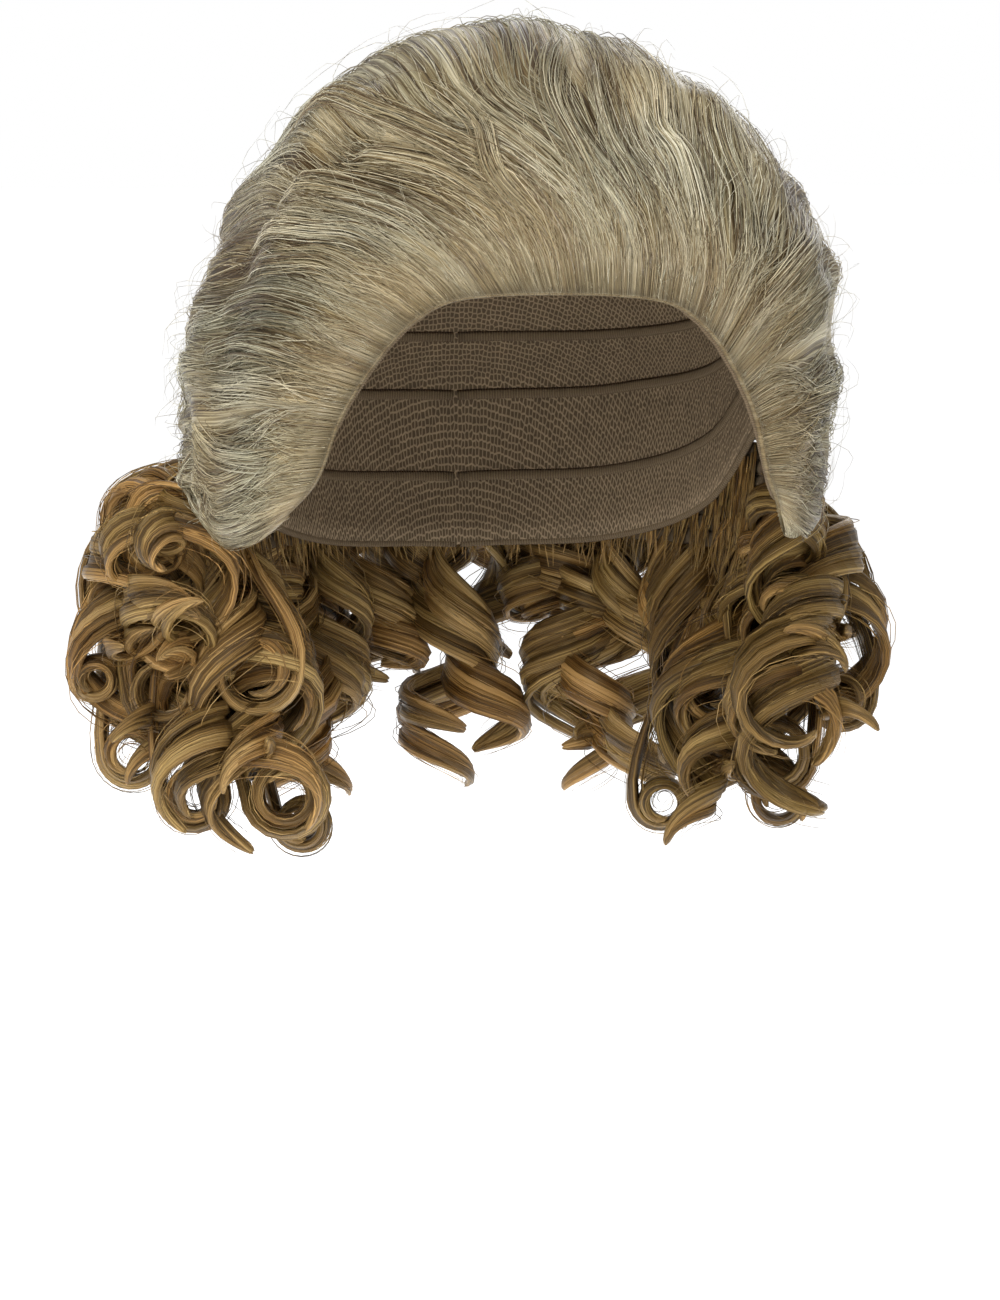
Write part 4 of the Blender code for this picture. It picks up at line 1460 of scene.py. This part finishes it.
def add_camera():
    """The camera at the photograph's angle and framing."""
    azimuth = math.radians(VIEW_AZIMUTH)
    elevation = math.radians(VIEW_ELEVATION)
    level = Vector((math.sin(azimuth), -math.cos(azimuth), 0))
    right = Vector((math.cos(azimuth), math.sin(azimuth), 0))
    back = level * math.cos(elevation) + Vector((0, 0, math.sin(elevation)))
    up = back.cross(right)
    focal = PIXELS_PER_METRE * VIEW_DISTANCE
    turn = math.atan((HEAD_PIXEL[0] - PHOTO_WIDTH / 2) / focal)
    tilt = math.atan((PHOTO_HEIGHT / 2 - HEAD_PIXEL[1]) / focal * math.cos(turn))
    forward = -back * math.cos(tilt) - up * math.sin(tilt)
    forward = forward * math.cos(turn) - right * math.sin(turn)
    lens = bpy.data.cameras.new("photo_view")
    lens.sensor_width = SENSOR
    lens.lens = SENSOR * focal / PHOTO_HEIGHT
    camera = bpy.data.objects.new("photo_view", lens)
    camera.location = Vector(MIDDLE) + back * VIEW_DISTANCE
    camera.rotation_euler = forward.to_track_quat("-Z", "Y").to_euler()
    bpy.context.scene.collection.objects.link(camera)
    bpy.context.scene.camera = camera


def build():
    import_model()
    bpy.context.scene.view_settings.view_transform = "Standard"
    net = net_finish("cap_net", (0.26, 0.19, 0.115, 1), (0.085, 0.06, 0.035, 1))
    tape = tape_finish("weft_tape", (0.20, 0.145, 0.08, 1), (0.09, 0.06, 0.035, 1))
    light = hair_finish("light_hair", LIGHT_LOOK)
    # The hair body's darker finish paints the shade under the single hairs.
    under_shade = hair_finish("light_hair_under_painted_shade", UNDER_SHADE_LOOK)
    brown = hair_finish("brown_hair", BROWN_LOOK)
    # deep: the brown finish with painted shade, for the curls on the wearer's left.
    deep = hair_finish("brown_hair_painted_shade", SHADED_BROWN_LOOK)
    make_cap(net, tape)
    make_hair_body("top_hair_body", -ROLL_SEAM, ROLL_SEAM, 120, under_shade, "top_hair")
    make_hair_body("side_roll_left_body", ROLL_SEAM, 1.0, 40, under_shade, "side_roll_left")
    make_hair_body("side_roll_right_body", -1.0, -ROLL_SEAM, 40, under_shade, "side_roll_right")
    top_count = int(LIGHT_HAIRS * ROLL_SEAM / 3)
    for number, first in enumerate(np.linspace(-ROLL_SEAM, ROLL_SEAM, 4)[:3]):
        last = first + 2 * ROLL_SEAM / 3
        make_light_hairs(f"top_hair_strands_{number}", top_count, first, last, 10 + number, light)
    roll_count = int(LIGHT_HAIRS * (1 - ROLL_SEAM) / 2)
    make_light_hairs("side_roll_left_strands", roll_count, ROLL_SEAM, 1.0, 20, light)
    make_light_hairs("side_roll_right_strands", roll_count, -1.0, -ROLL_SEAM, 21, light)
    make_raised_locks("top_hair_raised", RAISED_LOCKS, RAISED_HAIRS, 1, 50, light)
    make_raised_locks("side_roll_left_rim", RIM_LOCKS, RIM_HAIRS, 1, 51, light)
    make_raised_locks("side_roll_right_rim", RIM_LOCKS, RIM_HAIRS, -1, 52, light)
    make_edge_wisps(light)
    make_flyaways(light)
    make_curls("curls_right", other_side(SIDE_BACKING), CURLS_RIGHT, COILS_RIGHT, 41, brown, tape)
    # The curls on the wearer's left take the brown finish with painted shade.
    make_curls("curls_left", SIDE_BACKING, CURLS_LEFT, COILS_LEFT, 42, deep, tape)
    make_curls("curls_back_left", BACK_BACKING, CURLS_BACK, [], 43, brown, tape)
    make_curls("curls_back_right", other_side(BACK_BACKING), mirrored(CURLS_BACK), [], 44, brown, tape)
    make_curls("curls_back_middle", MIDDLE_BACKING, CURLS_MIDDLE, [], 45, brown, tape)
    add_floor(paper_finish("studio_paper", (0.93, 0.93, 0.93, 1)))
    add_world()
    for lamp in LAMPS:
        add_light(lamp)
    add_camera()


build()
